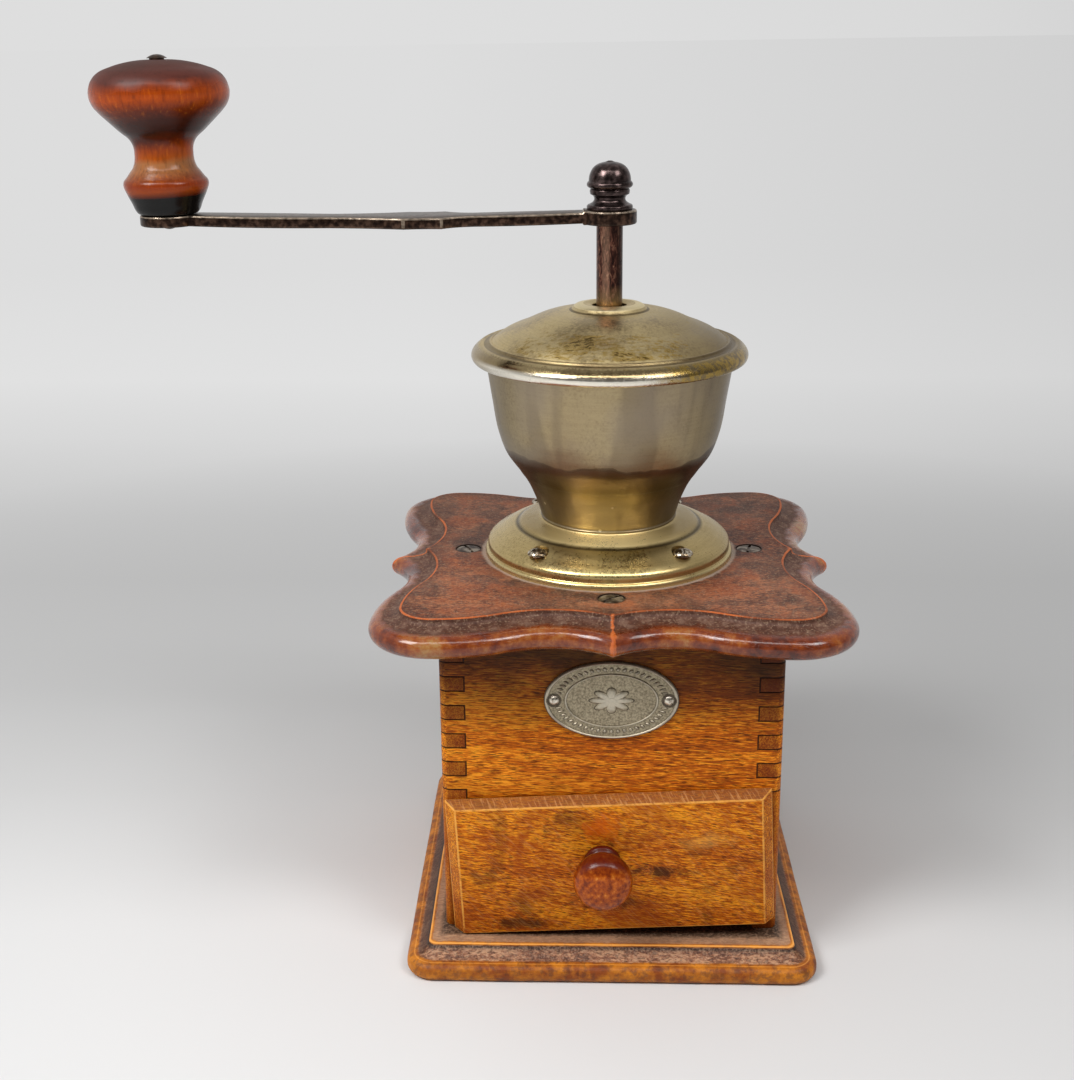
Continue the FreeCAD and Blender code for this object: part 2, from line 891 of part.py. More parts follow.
# Hopper flange: a spun brass dome that hides the upper bearing
dome_middle = (size.flange_lip + size.flange_crease) / 2
dome_rise = (size.flange_lip_height + size.flange_crease_height) / 2
flange_outside = [
    (size.flange_radius, board_top),
    (size.flange_radius, board_top + size.flange_wall),
    (size.flange_radius - size.flange_bulge, board_top + size.flange_turn, VIA),
    (size.flange_lip, board_top + size.flange_lip_height),
    (dome_middle, board_top + dome_rise + size.flange_bulge, VIA),
    (size.flange_crease, board_top + size.flange_crease_height),
    (size.flange_ring, flange_top),
]
flange_inside = shifted(flange_outside[1:], -size.sheet, -size.sheet)
hopper_flange = turned(
    "hopper_flange",
    flange_outside
    + backwards(flange_inside)
    + [(size.flange_radius - size.sheet, board_top)],
)
flange_holes = new_sketch(hopper_flange, "XY_Plane")
for x, y in frame_screw_places:
    draw_circle(flange_holes, x, y, frame_hole)
pocket(hopper_flange, flange_holes)

# Each frame screw's head sits in a flat that is pressed into the dome
seat_share = (size.flange_lip - size.frame_screw_circle) / (size.flange_lip - size.flange_crease)
seat_rise = size.flange_crease_height - size.flange_lip_height
screw_seat = board_top + size.flange_lip_height + seat_share * seat_rise + size.sheet / 2
seat_radius = size.frame_screw_head + size.screw_clearance
seats = new_sketch(hopper_flange, "XY_Plane", screw_seat)
for x, y in frame_screw_places:
    draw_circle(seats, x, y, seat_radius)
pocket(hopper_flange, seats, size.flange_height, upwards=True)

# Hopper bowl: thin spun brass, open below, with a spigot in the flange
bowl_outside = [
    (size.bowl_foot, flange_top),
    (
        (size.bowl_foot + size.bowl_waist) / 2 - size.sheet,
        flange_top + size.bowl_waist_height / 2,
        VIA,
    ),
    (size.bowl_waist, flange_top + size.bowl_waist_height),
    (size.bowl_belly, flange_top + size.bowl_belly_height),
    (
        (size.bowl_belly + size.bowl_shoulder) / 2 + size.sheet / 2,
        flange_top + (size.bowl_belly_height + size.bowl_shoulder_height) / 2,
        VIA,
    ),
    (size.bowl_shoulder, flange_top + size.bowl_shoulder_height),
    (size.bowl_rim, flange_top + size.bowl_height),
]
bowl_inside = shifted(bowl_outside[1:], -size.sheet, 0)
hopper_bowl = turned(
    "hopper_bowl",
    [(size.spigot_radius - size.sheet, flange_top - size.spigot_height)]
    + [(size.spigot_radius, flange_top - size.spigot_height), (size.spigot_radius, flange_top)]
    + bowl_outside
    + backwards(bowl_inside)
    + [(size.spigot_radius - size.sheet, flange_top + size.sheet)],
)

# Hopper lid: spun dome with a collar round the shaft and a rolled rim over the bowl
lid_seat = flange_top + size.bowl_height + size.lid_seat_gap
lid_ledge = lid_seat + size.sheet
lid_kink_top = lid_ledge + size.lid_bead_drop
lid_collar_under = lid_kink_top + size.lid_dome_height
lid_collar_top = lid_collar_under + size.lid_collar_height
rim_height = lid_ledge - size.lid_rim_drop
rim_middle = (size.lid_bead + size.lid_rim) / 2 + size.lid_rim_bulge_out
lid_foot = rim_height - size.lid_skirt
lid_outside = [
    (size.lid_hole, lid_collar_top),
    (size.lid_collar, lid_collar_top),
    (size.lid_collar + size.lid_collar_bulge, lid_collar_top - size.lid_collar_turn, VIA),
    (size.lid_collar_foot, lid_collar_under),
    (
        (size.lid_collar_foot + size.lid_kink) / 2,
        (lid_collar_under + lid_kink_top) / 2 + size.lid_dome_bulge,
        VIA,
    ),
    (size.lid_kink, lid_kink_top),
    (
        (size.lid_kink + size.lid_bead) / 2,
        (lid_kink_top + lid_ledge) / 2 + size.lid_dome_bulge,
        VIA,
    ),
    (size.lid_bead, lid_ledge),
    (size.lid_bead + size.lid_ledge_width, lid_ledge),
    (rim_middle, (lid_ledge + rim_height) / 2 + size.lid_rim_bulge_up, VIA),
    (size.lid_rim, rim_height),
    (size.lid_rim - size.lid_skirt_bulge, rim_height - size.lid_skirt / 2, VIA),
    (size.lid_rim - size.lid_skirt_tuck, lid_foot),
]
lid_inside = [
    (size.lid_rim - size.lid_skirt_tuck - size.sheet, lid_foot + size.sheet / 2),
    (size.lid_rim - size.sheet, rim_height),
    (
        rim_middle - size.sheet,
        (lid_ledge + rim_height) / 2 + size.lid_rim_bulge_up - size.sheet,
        VIA,
    ),
    (size.lid_bead + size.lid_ledge_width, lid_seat),
]
hopper_lid = turned(
    "hopper_lid",
    lid_outside
    + lid_inside
    + backwards(shifted(lid_outside[3:8], 0, -size.sheet))
    + [(size.lid_hole, lid_collar_under - size.sheet)],
)


# Screws that clamp flange, top board and mill frame, with square nuts below
frame_screw_foot = plate_under - size.yoke_wall - size.nut_height - size.frame_screw_end


def frame_screw(name):
    """A slotted dome-headed screw whose head rests at Z 0."""
    length = screw_seat - frame_screw_foot
    edge = size.frame_screw_dome / 4
    body = turned(
        name,
        [
            (0, -length),
            (size.frame_screw_radius, -length),
            (size.frame_screw_radius, 0),
            (size.frame_screw_head, 0),
            (size.frame_screw_head, edge),
        ]
        + dome(size.frame_screw_head, edge, size.frame_screw_dome),
    )
    slot = new_sketch(body, "XY_Plane", size.frame_screw_dome)
    reach = size.frame_screw_head * 2
    half = size.frame_screw_slot / 2
    draw_box(slot, -reach, reach, -half, half)
    pocket(body, slot, size.frame_screw_dome / 2)
    return body


def square_nut(name):
    body = new_body(name)
    plan = new_sketch(body, "XY_Plane")
    half = size.nut_width / 2
    draw_box(plan, -half, half, -half, half)
    draw_circle(plan, 0, 0, frame_hole)
    pad(body, plan, size.nut_height)
    return body


frame_screws = []
frame_nuts = []
for number, (x, y) in enumerate(frame_screw_places, start=1):
    screw = frame_screw("frame_screw_%d" % number)
    place(screw, x, y, screw_seat)
    frame_screws.append(screw)
    nut = square_nut("frame_nut_%d" % number)
    nut_top = plate_under - size.yoke_wall if number % 2 else plate_under
    place(nut, x, y, nut_top - size.nut_height, axis=(0, 0, 1), angle=size.frame_screw_angle)
    frame_nuts.append(nut)


def strap_plan(reach, half, nose_reach):
    """Stations of a straight strap with round ends."""
    return [
        (-reach, -half),
        (reach, -half),
        (nose_reach, 0, VIA),
        (reach, half),
        (-reach, half),
        (-nose_reach, 0, VIA),
    ]


# Upper bearing: cast strap across the throat, clamped under two of the frame screws
bearing_bridge = new_body("bearing_bridge")
strap = new_sketch(bearing_bridge, "XY_Plane", board_top)
strap_nose = size.frame_screw_circle + size.strap_end
draw(strap, strap_plan(size.frame_screw_circle, size.strap_half_width, strap_nose))
pad(bearing_bridge, strap, size.strap_thickness)
eye = new_sketch(bearing_bridge, "XY_Plane", board_top - size.eye_drop)
draw_circle(eye, 0, 0, size.eye_radius)
pad(bearing_bridge, eye, size.eye_drop + size.eye_rise)
bridge_holes = new_sketch(bearing_bridge, "XY_Plane")
draw_circle(bridge_holes, 0, 0, size.shaft_radius + size.bearing_gap)
draw_circle(bridge_holes, size.frame_screw_circle, 0, frame_hole)
draw_circle(bridge_holes, -size.frame_screw_circle, 0, frame_hole)
pocket(bearing_bridge, bridge_holes)
place(bearing_bridge, axis=(0, 0, 1), angle=size.frame_screw_angle)

# Burr housing: cast iron plate and barrel with a feed mouth over a toothed cone
grind_top = case_top - size.mouth_depth
outer_burr = turned(
    "outer_burr",
    [
        (size.mouth_radius, case_top),
        (size.ring_top, grind_top),
        (size.ring_bottom, barrel_end),
        (size.barrel_radius, barrel_end),
        (size.barrel_radius, plate_under),
        (size.plate_radius, plate_under),
        (size.plate_radius, case_top),
    ],
)
plate_holes = new_sketch(outer_burr, "XY_Plane")
for x, y in frame_screw_places:
    draw_circle(plate_holes, x, y, frame_hole)
pocket(outer_burr, plate_holes)
ring_tooth = new_sketch(outer_burr, "XY_Plane", barrel_end)
draw(
    ring_tooth,
    [
        (size.ring_top - size.burr_gap, -size.tooth_half_width),
        (size.ring_bottom, -size.tooth_half_width),
        (size.ring_bottom + size.tooth_depth, 0),
        (size.ring_bottom, size.tooth_half_width),
        (size.ring_top - size.burr_gap, size.tooth_half_width),
    ],
)
ring_of(outer_burr, pocket(outer_burr, ring_tooth, size.tooth_height, upwards=True), size.tooth_count)

# Inner burr: toothed cone pinned on the shaft, wider towards its foot
burr_foot = barrel_end + size.burr_rise
cone_share = size.burr_cone_height / (size.barrel_length - size.mouth_depth)
cone_top = size.ring_bottom - cone_share * (size.ring_bottom - size.ring_top) - size.burr_gap
burr_bore = size.shaft_radius + size.fit_gap
inner_burr = turned(
    "inner_burr",
    [
        (burr_bore, burr_foot),
        (size.ring_bottom - size.burr_gap, burr_foot),
        (cone_top, burr_foot + size.burr_cone_height),
        (size.burr_neck, burr_foot + size.burr_neck_height),
        (size.burr_crown, burr_foot + size.burr_crown_height),
        (burr_bore, burr_foot + size.burr_crown_height),
    ],
)
cone_tooth = new_sketch(inner_burr, "XY_Plane", burr_foot)
draw(
    cone_tooth,
    [
        (size.ring_bottom - size.burr_gap - size.tooth_depth, 0),
        (size.ring_bottom, -size.tooth_half_width),
        (size.ring_bottom, size.tooth_half_width),
    ],
)
ring_of(inner_burr, pocket(inner_burr, cone_tooth, size.tooth_height, upwards=True), size.tooth_count)
pin_level = burr_foot + size.pin_height
pin_hole = new_sketch(inner_burr, "XZ_Plane")
draw_circle(pin_hole, 0, pin_level, size.pin_radius + size.fit_gap)
pocket(inner_burr, pin_hole)

burr_pin = new_body("burr_pin")
pin_section = new_sketch(burr_pin, "XZ_Plane")
draw_circle(pin_section, 0, pin_level, size.pin_radius)
pad(burr_pin, pin_section, size.pin_half_length * 2, symmetric=True)

# Yoke: wrought strap bent under the burrs, with a threaded boss for the adjusting screw
lower_yoke = new_body("lower_yoke")
yoke_side = new_sketch(lower_yoke, "XZ_Plane")
leg_outside = size.yoke_leg + size.yoke_wall
yoke_foot = plate_under - size.yoke_wall
draw(
    yoke_side,
    [
        (-size.yoke_reach, plate_under),
        (-size.yoke_reach, yoke_foot),
        (-leg_outside, yoke_foot),
        (-leg_outside, yoke_bar_under),
        (leg_outside, yoke_bar_under),
        (leg_outside, yoke_foot),
        (size.yoke_reach, yoke_foot),
        (size.yoke_reach, plate_under),
        (size.yoke_leg, plate_under),
        (size.yoke_leg, yoke_bar_top),
        (-size.yoke_leg, yoke_bar_top),
        (-size.yoke_leg, plate_under),
    ],
)
pad(lower_yoke, yoke_side, size.yoke_half_width * 2, symmetric=True)
boss = new_sketch(lower_yoke, "XY_Plane", yoke_bar_under - size.yoke_boss_drop)
draw_circle(boss, 0, 0, size.yoke_boss)
pad(lower_yoke, boss, size.yoke_bar + size.yoke_boss_drop)
yoke_holes = new_sketch(lower_yoke, "XY_Plane")
draw_circle(yoke_holes, 0, 0, size.adjuster_radius + size.bearing_gap)
draw_circle(yoke_holes, size.frame_screw_circle, 0, frame_hole)
draw_circle(yoke_holes, -size.frame_screw_circle, 0, frame_hole)
draw_circle(yoke_holes, size.spring_rivet_place, 0, size.spring_rivet_radius + size.fit_gap)
pocket(lower_yoke, yoke_holes)
place(lower_yoke, axis=(0, 0, 1), angle=size.frame_screw_angle)

# Leaf spring riveted under the yoke, whose tip drags over the adjusting wheel
wheel_top = yoke_bar_top - size.wheel_drop
tip_level = wheel_top + size.spring_gap
spring_top = yoke_bar_under
spring_under = spring_top - size.spring_thickness
detent_spring = new_body("detent_spring")
spring_side = new_sketch(detent_spring, "XZ_Plane")
draw(
    spring_side,
    [
        (size.spring_root, spring_top),
        (size.spring_root, spring_under),
        (size.spring_bend, spring_under),
        (size.spring_tip, tip_level),
        (size.spring_tip - size.spring_thickness, tip_level),
        (size.spring_tip - size.spring_thickness, tip_level + size.spring_thickness),
        (size.spring_bend, spring_top),
    ],
)
pad(detent_spring, spring_side, size.spring_width * 2, symmetric=True)
spring_hole = new_sketch(detent_spring, "XY_Plane")
draw_circle(spring_hole, size.spring_rivet_place, 0, size.spring_rivet_radius + size.fit_gap)
pocket(detent_spring, spring_hole)
place(detent_spring, axis=(0, 0, 1), angle=size.frame_screw_angle)

rivet_head = size.spring_rivet_head
spring_rivet = turned(
    "spring_rivet",
    backwards(dome(rivet_head, spring_under, spring_under - size.spring_rivet_dome))
    + [
        (rivet_head, spring_under),
        (size.spring_rivet_radius, spring_under),
        (size.spring_rivet_radius, yoke_bar_top),
        (rivet_head, yoke_bar_top),
    ]
    + dome(rivet_head, yoke_bar_top, yoke_bar_top + size.spring_rivet_dome),
)
place(
    spring_rivet,
    size.spring_rivet_place * cosine(size.frame_screw_angle),
    size.spring_rivet_place * sine(size.frame_screw_angle),
)

# Adjusting screw with its notched wheel, and the ball that carries the shaft in its cup
cup_rim = yoke_bar_top + size.adjuster_rise
cup_floor = cup_rim - size.adjuster_cup_depth
wheel_under = wheel_top - size.wheel_thickness
adjusting_screw = turned(
    "adjusting_screw",
    [
        (0, wheel_under),
        (size.wheel_radius, wheel_under),
        (size.wheel_radius, wheel_top),
        (size.adjuster_radius, wheel_top),
        (size.adjuster_radius, cup_rim),
        (size.adjuster_cup, cup_rim),
        (size.adjuster_cup, cup_floor),
        (0, cup_floor),
    ],
)
notch = new_sketch(adjusting_screw, "XY_Plane")
draw_circle(notch, size.wheel_radius, 0, size.wheel_notch)
ring_of(adjusting_screw, pocket(adjusting_screw, notch), size.wheel_notches)

thrust_ball = doc.addObject("Part::Sphere", "thrust_ball")
thrust_ball.Label = "thrust_ball"
bind(thrust_ball, "Radius", size.ball_radius)
place(thrust_ball, 0, 0, cup_floor + size.thrust_gap + size.ball_radius)

# Mill shaft: round bar with a square tang for the arm and a threaded stud for the cap nut
shaft_foot = cup_floor + (size.thrust_gap + size.ball_radius) * 2
mill_shaft = new_body("mill_shaft")
shaft_round = new_sketch(mill_shaft, "XY_Plane", shaft_foot)
draw_circle(shaft_round, 0, 0, size.shaft_radius)
pad(mill_shaft, shaft_round, size.arm_height - shaft_foot)
shaft_tang = new_sketch(mill_shaft, "XY_Plane", size.arm_height)
tang = size.tang_half_width
draw_box(shaft_tang, -tang, tang, -tang, tang)
pad(mill_shaft, shaft_tang, size.hub_thickness)
shaft_stud = new_sketch(mill_shaft, "XY_Plane", arm_top)
draw_circle(shaft_stud, 0, 0, size.stud_radius)
pad(mill_shaft, shaft_stud, size.stud_length)
shaft_pin_hole = new_sketch(mill_shaft, "XZ_Plane")
draw_circle(shaft_pin_hole, 0, pin_level, size.pin_radius + size.fit_gap)
pocket(mill_shaft, shaft_pin_hole)

# Crank arm: forged flat bar with a double-cusped shoulder, slightly bowed, with an eye at each end
hub_join = root(size.hub_radius * size.hub_radius - size.arm_neck * size.arm_neck)
end_join = root(
    size.arm_end_radius * size.arm_end_radius - size.arm_end_neck * size.arm_end_neck
)
arm_end = size.crank_radius - end_join
upper_edge = [
    (-hub_join, size.arm_neck),
    ((-hub_join - size.arm_waist_place) / 2, size.arm_inner_half, VIA),
    (-size.arm_waist_place, size.arm_waist),
    (
        -(size.arm_waist_place + size.inner_cusp_place) / 2 - size.arm_shoulder_back,
        (size.arm_waist + size.cusp_half_width) / 2 - size.arm_shoulder_dip,
        VIA,
    ),
    (-size.inner_cusp_place, size.cusp_half_width),
    (-(size.inner_cusp_place + size.outer_cusp_place) / 2, size.cusp_hollow, VIA),
    (-size.outer_cusp_place, size.cusp_half_width),
    (
        -(size.outer_cusp_place + size.arm_outer_waist_place) / 2,
        (size.cusp_half_width + size.arm_outer_waist) / 2 - size.arm_shoulder_dip,
        VIA,
    ),
    (-size.arm_outer_waist_place, size.arm_outer_waist),
    (-(size.arm_outer_waist_place + arm_end) / 2, size.arm_swell, VIA),
    (-arm_end, size.arm_end_neck),
]
lower_edge = [(u, -v, *mark) for u, v, *mark in upper_edge]
arm_plan = new_body("crank_arm_plan")
arm_outline = new_sketch(arm_plan, "XY_Plane", size.arm_height - size.arm_thickness)
draw(
    arm_outline,
    upper_edge
    + [(-size.crank_radius - size.arm_end_radius, 0, VIA)]
    + backwards(lower_edge)
    + [(size.hub_radius, 0, VIA)],
)
pad(arm_plan, arm_outline, size.arm_thickness * 2 + size.hub_thickness + size.arm_end_rise)
tang_hole = new_sketch(arm_plan, "XY_Plane")
tang_room = size.tang_half_width + size.fit_gap
draw_box(tang_hole, -tang_room, tang_room, -tang_room, tang_room)
pocket(arm_plan, tang_hole)
rivet_hole = new_sketch(arm_plan, "XY_Plane")
draw_circle(rivet_hole, -size.crank_radius, 0, size.rivet_radius + size.fit_gap)
pocket(arm_plan, rivet_hole)

arm_side = new_body("crank_arm_side")
arm_profile = new_sketch(arm_side, "XZ_Plane")
bar_foot = size.arm_height + size.arm_hub_step
end_foot = size.arm_height + size.arm_end_rise
bow_foot = (bar_foot + end_foot) / 2 - size.arm_bow
far_end = size.crank_radius + size.arm_end_radius * 2
bar_middle = (size.hub_radius + arm_end) / 2
arm_underside = [
    (-size.hub_radius, bar_foot),
    (-bar_middle, bow_foot, VIA),
    (-arm_end, end_foot),
    (-far_end, end_foot),
]
draw(
    arm_profile,
    [(size.hub_radius * 2, size.arm_height), (-size.hub_radius, size.arm_height)]
    + arm_underside
    + backwards(shifted(arm_underside, 0, size.arm_thickness))
    + [(-size.hub_radius, arm_top), (size.hub_radius * 2, arm_top)],
)
pad(arm_side, arm_profile, size.arm_end_radius * 4, symmetric=True)
crank_arm = doc.addObject("Part::Common", "crank_arm")
crank_arm.Label = "crank_arm"
crank_arm.Base = arm_plan
crank_arm.Tool = arm_side

# Cap nut: turned iron acorn with a flange, a neck and a bead
cap_nut = turned(
    "cap_nut",
    [
        (size.stud_radius + size.cap_bore_gap, 0),
        (size.cap_flange, 0),
        (size.cap_flange, size.cap_flange_edge),
        (size.cap_flange_top, size.cap_flange_height),
        (size.cap_neck, size.cap_neck_height),
        (size.cap_collar, size.cap_collar_height),
        (size.cap_bead, size.cap_bead_height, VIA),
        (size.cap_dome, size.cap_dome_height),
    ]
    + dome(size.cap_dome, size.cap_dome_height, size.cap_height)
    + [
        (0, size.stud_length + size.cap_bore_gap),
        (size.stud_radius + size.cap_bore_gap, size.stud_length + size.cap_bore_gap),
    ],
)
place(cap_nut, 0, 0, arm_top)

# Crank knob: turned hardwood mushroom, bored through for the rivet that it spins on
knob_bore = size.rivet_radius + size.rivet_running_gap
knob_foot_level = end_foot + size.arm_thickness + size.knob_gap
crank_knob = turned(
    "crank_knob",
    [
        (knob_bore, 0),
        (size.knob_base, 0),
        (size.knob_foot_under, size.knob_foot_under_height),
        (size.knob_foot, size.knob_foot_height, VIA),
        (size.knob_foot_top, size.knob_foot_top_height),
        (size.knob_flare, size.knob_flare_height),
        (size.knob_neck, size.knob_neck_height, VIA),
        (size.knob_throat, size.knob_throat_height),
        (size.knob_under, size.knob_under_height),
        (size.knob_belly, size.knob_belly_height, VIA),
        (size.knob_crown, size.knob_crown_height),
        (
            (size.knob_crown + knob_bore) / 2 + size.knob_crown_bulge_out,
            (size.knob_crown_height + size.knob_height) / 2 + size.knob_crown_bulge_up,
            VIA,
        ),
        (knob_bore, size.knob_height),
    ],
)
place(crank_knob, -size.crank_radius, 0, knob_foot_level)

# Rivet: long pin through arm and knob, spread over at both ends
rivet_top = size.arm_thickness + size.knob_gap * 2 + size.knob_height
knob_rivet = turned(
    "knob_rivet",
    backwards(dome(size.rivet_foot, as_size(0), -size.rivet_foot_height))
    + [
        (size.rivet_foot, 0),
        (size.rivet_radius, 0),
        (size.rivet_radius, rivet_top),
        (size.rivet_head, rivet_top),
    ]
    + dome(size.rivet_head, rivet_top, rivet_top + size.rivet_head_height),
)
place(knob_rivet, -size.crank_radius, 0, end_foot)


# Badge: stamped oval plate with a raised rim, on the front board with two nails
def oval(name, half_width, half_height, thickness):
    edge = doc.addObject("Part::Ellipse", name + "_edge")
    bind(edge, "MajorRadius", half_width)
    bind(edge, "MinorRadius", half_height)
    slab = doc.addObject("Part::Extrusion", name)
    slab.Base = edge
    slab.DirMode = "Custom"
    slab.Dir = (0, 0, 1)
    slab.Solid = True
    bind(slab, "LengthFwd", thickness)
    doc.recompute()
    return slab


rim_top = size.badge_thickness + size.badge_rim_height
badge_rim = doc.addObject("Part::Cut", "badge_rim")
badge_rim.Base = oval("badge_slab", size.badge_half_width, size.badge_half_height, rim_top)
badge_field = oval(
    "badge_field",
    size.badge_half_width - size.badge_rim,
    size.badge_half_height - size.badge_rim,
    size.badge_rim_height,
)
place(badge_field, 0, 0, size.badge_thickness)
badge_rim.Tool = badge_field
nail_holes = []
for sign in (-1, 1):
    hole = doc.addObject("Part::Cylinder", "nail_hole")
    bind(hole, "Radius", size.nail_radius + size.screw_clearance)
    bind(hole, "Height", rim_top)
    place(hole, sign * size.nail_place)
    nail_holes.append(hole)
badge_plate = doc.addObject("Part::Cut", "badge_plate")
badge_plate.Label = "badge_plate"
badge_plate.Base = badge_rim
badge_plate.Tool = compound("nail_hole_pair", nail_holes)
place(badge_plate, 0, -case_half, badge_level, axis=(1, 0, 0), angle=90)

badge_nails = []
for number, sign in enumerate((-1, 1), start=1):
    nail = turned(
        "badge_nail_%d" % number,
        [
            (0, -size.nail_length),
            (size.nail_radius, size.nail_radius * 2 - size.nail_length),
            (size.nail_radius, size.badge_thickness),
            (size.nail_head, size.badge_thickness),
        ]
        + dome(size.nail_head, size.badge_thickness, size.badge_thickness + size.nail_dome),
    )
    place(nail, sign * size.nail_place, -case_half, badge_level, axis=(1, 0, 0), angle=90)
    badge_nails.append(nail)

nail_bores = new_sketch(front_board, "XZ_Plane", case_half)
for sign in (-1, 1):
    bore = size.nail_radius + size.screw_clearance
    draw_circle(nail_bores, sign * size.nail_place, badge_level, bore)
pocket(front_board, nail_bores, size.nail_length)

# Drawer: its own frame is the middle of its face, tipped with the drawer in the case
tip_sine = sine(size.drawer_tip)
tip_cosine = cosine(size.drawer_tip)
drawer_back_half = size.drawer_face_width / 2 + size.drawer_side_bevel
half_face = size.drawer_face_height / 2
drawer_level = (
    case_foot
    + size.drawer_floor_gap
    + half_face * tip_cosine
    + drawer_back_half * tip_sine
)
front_back = case_half + size.drawer_front_gap
face_plane = front_back + size.drawer_front_thickness
drawer_end = size.drawer_box_length - front_back
box_half = size.drawer_box_width / 2
box_inside = box_half - size.drawer_wall


def in_drawer(body, x=0, z=0):
    """Put a body that is drawn in the drawer's frame where the tipped drawer carries it."""
    x = as_size(x)
    z = as_size(z)
    across = x * tip_cosine - z * tip_sine
    up = drawer_level + x * tip_sine + z * tip_cosine
    place(body, across, 0, up, axis=(0, 1, 0), angle=-size.drawer_tip)


def front_outline(body, bevel_side, bevel_top, reach):
    sketch = new_sketch(body, "XZ_Plane", reach)
    half = size.drawer_face_width / 2 + bevel_side
    draw_box(sketch, -half, half, -half_face, half_face + bevel_top)
    return sketch


drawer_front = new_body("drawer_front")
full_bevels = (size.drawer_side_bevel, size.drawer_top_bevel)
bevel_foot = front_back + size.drawer_front_edge
pad(drawer_front, front_outline(drawer_front, *full_bevels, front_back), size.drawer_front_edge)
bevel_back = front_outline(drawer_front, *full_bevels, bevel_foot)
bevel_face = front_outline(drawer_front, as_size(0), as_size(0), face_plane)
ruled_loft(drawer_front, bevel_back, bevel_face)
pull_hole = new_sketch(drawer_front, "XZ_Plane")
draw_circle(
    pull_hole,
    -size.pull_place,
    size.pull_rise,
    size.pull_screw_radius + size.screw_clearance,
)
pocket(drawer_front, pull_hole)
in_drawer(drawer_front)


def drawer_slab(name, left, right, low, high, start, end):
    """A straight board of the drawer between two depths."""
    body = new_body(name)
    sketch = new_sketch(body, "XZ_Plane", -end)
    draw_box(sketch, left, right, low, high)
    pad(body, sketch, end - start)
    in_drawer(body)
    return body


box_low = -half_face
box_high = size.drawer_box_height - half_face
floor_high = size.drawer_floor - half_face
drawer_side_left = drawer_slab(
    "drawer_side_left", -box_half, -box_inside, box_low, box_high, -front_back, drawer_end
)
drawer_side_right = drawer_slab(
    "drawer_side_right", box_inside, box_half, box_low, box_high, -front_back, drawer_end
)
drawer_back = drawer_slab(
    "drawer_back",
    -box_inside,
    box_inside,
    box_low,
    box_high,
    drawer_end - size.drawer_wall,
    drawer_end,
)
drawer_bottom = drawer_slab(
    "drawer_bottom",
    -box_inside,
    box_inside,
    box_low,
    floor_high,
    -front_back,
    drawer_end - size.drawer_wall,
)


def turned_across(name, stations):
    """A drawer body turned about a line along Y, from (radius, depth) stations."""
    body = new_body(name)
    sketch = new_sketch(body, "YZ_Plane")
    draw(sketch, [(depth, radius, *mark) for radius, depth, *mark in stations])
    revolve(body, sketch, "H_Axis")
    in_drawer(body, -size.pull_place, size.pull_rise)
    return body


pull_bore = size.pull_screw_radius + size.screw_clearance
bore_end = size.pull_screw_depth + size.screw_clearance
pull_front = -face_plane - size.pull_front_length
drawer_knob = turned_across(
    "drawer_knob",
    [
        (pull_bore, -face_plane),
        (size.pull_collar, -face_plane),
        (size.pull_collar, -face_plane - size.pull_collar_length),
        (size.pull_neck, -face_plane - size.pull_neck_length),
        (size.pull_back, -face_plane - size.pull_back_length),
        (size.pull_head, -face_plane - size.pull_head_length, VIA),
        (size.pull_front, pull_front),
    ]
    + dome(size.pull_front, pull_front, -face_plane - size.pull_length)
    + [(0, -face_plane - bore_end), (pull_bore, -face_plane - bore_end)],
)
drawer_knob_screw = turned_across(
    "drawer_knob_screw",
    [
        (0, -face_plane - size.pull_screw_depth),
        (size.pull_screw_radius, -face_plane - size.pull_screw_depth),
        (size.pull_screw_radius, -front_back),
        (size.pull_screw_head, -front_back),
    ]
    + dome(size.pull_screw_head, -front_back, size.pull_screw_dome - front_back),
)

# Pieces, one file each; like fasteners share one
nodes = [
    base_board,
    compound("base_screws", base_screws),
    side_board_left,
    side_board_right,
    front_board,
    back_board,
    top_board,
    compound("top_board_screws", top_board_screws),
    hopper_flange,
    hopper_bowl,
    compound("frame_screws", frame_screws),
    compound("frame_nuts", frame_nuts),
    bearing_bridge,
    outer_burr,
    lower_yoke,
    detent_spring,
    spring_rivet,
    badge_plate,
    compound("badge_nails", badge_nails),
    hopper_lid,
    thrust_ball,
    adjusting_screw,
    mill_shaft,
    inner_burr,
    burr_pin,
    crank_arm,
    cap_nut,
    knob_rivet,
    crank_knob,
    drawer_front,
    drawer_side_left,
    drawer_side_right,
    drawer_back,
    drawer_bottom,
    drawer_knob,
    drawer_knob_screw,
]
doc.recompute()
for thing in doc.Objects:
    if "Invalid" in thing.State or "Error" in thing.State:
        raise ValueError("failed: " + thing.Label)
for node in nodes:
    if node.Shape.isNull() or not node.Shape.isValid():
        raise ValueError("bad shape: " + node.Label)

os.makedirs("parts", exist_ok=True)
for node in nodes:
    node.Shape.exportStep("parts/%s.step" % node.Label)
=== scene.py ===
import math

import bmesh
import bpy
from mathutils import Matrix, Vector, noise


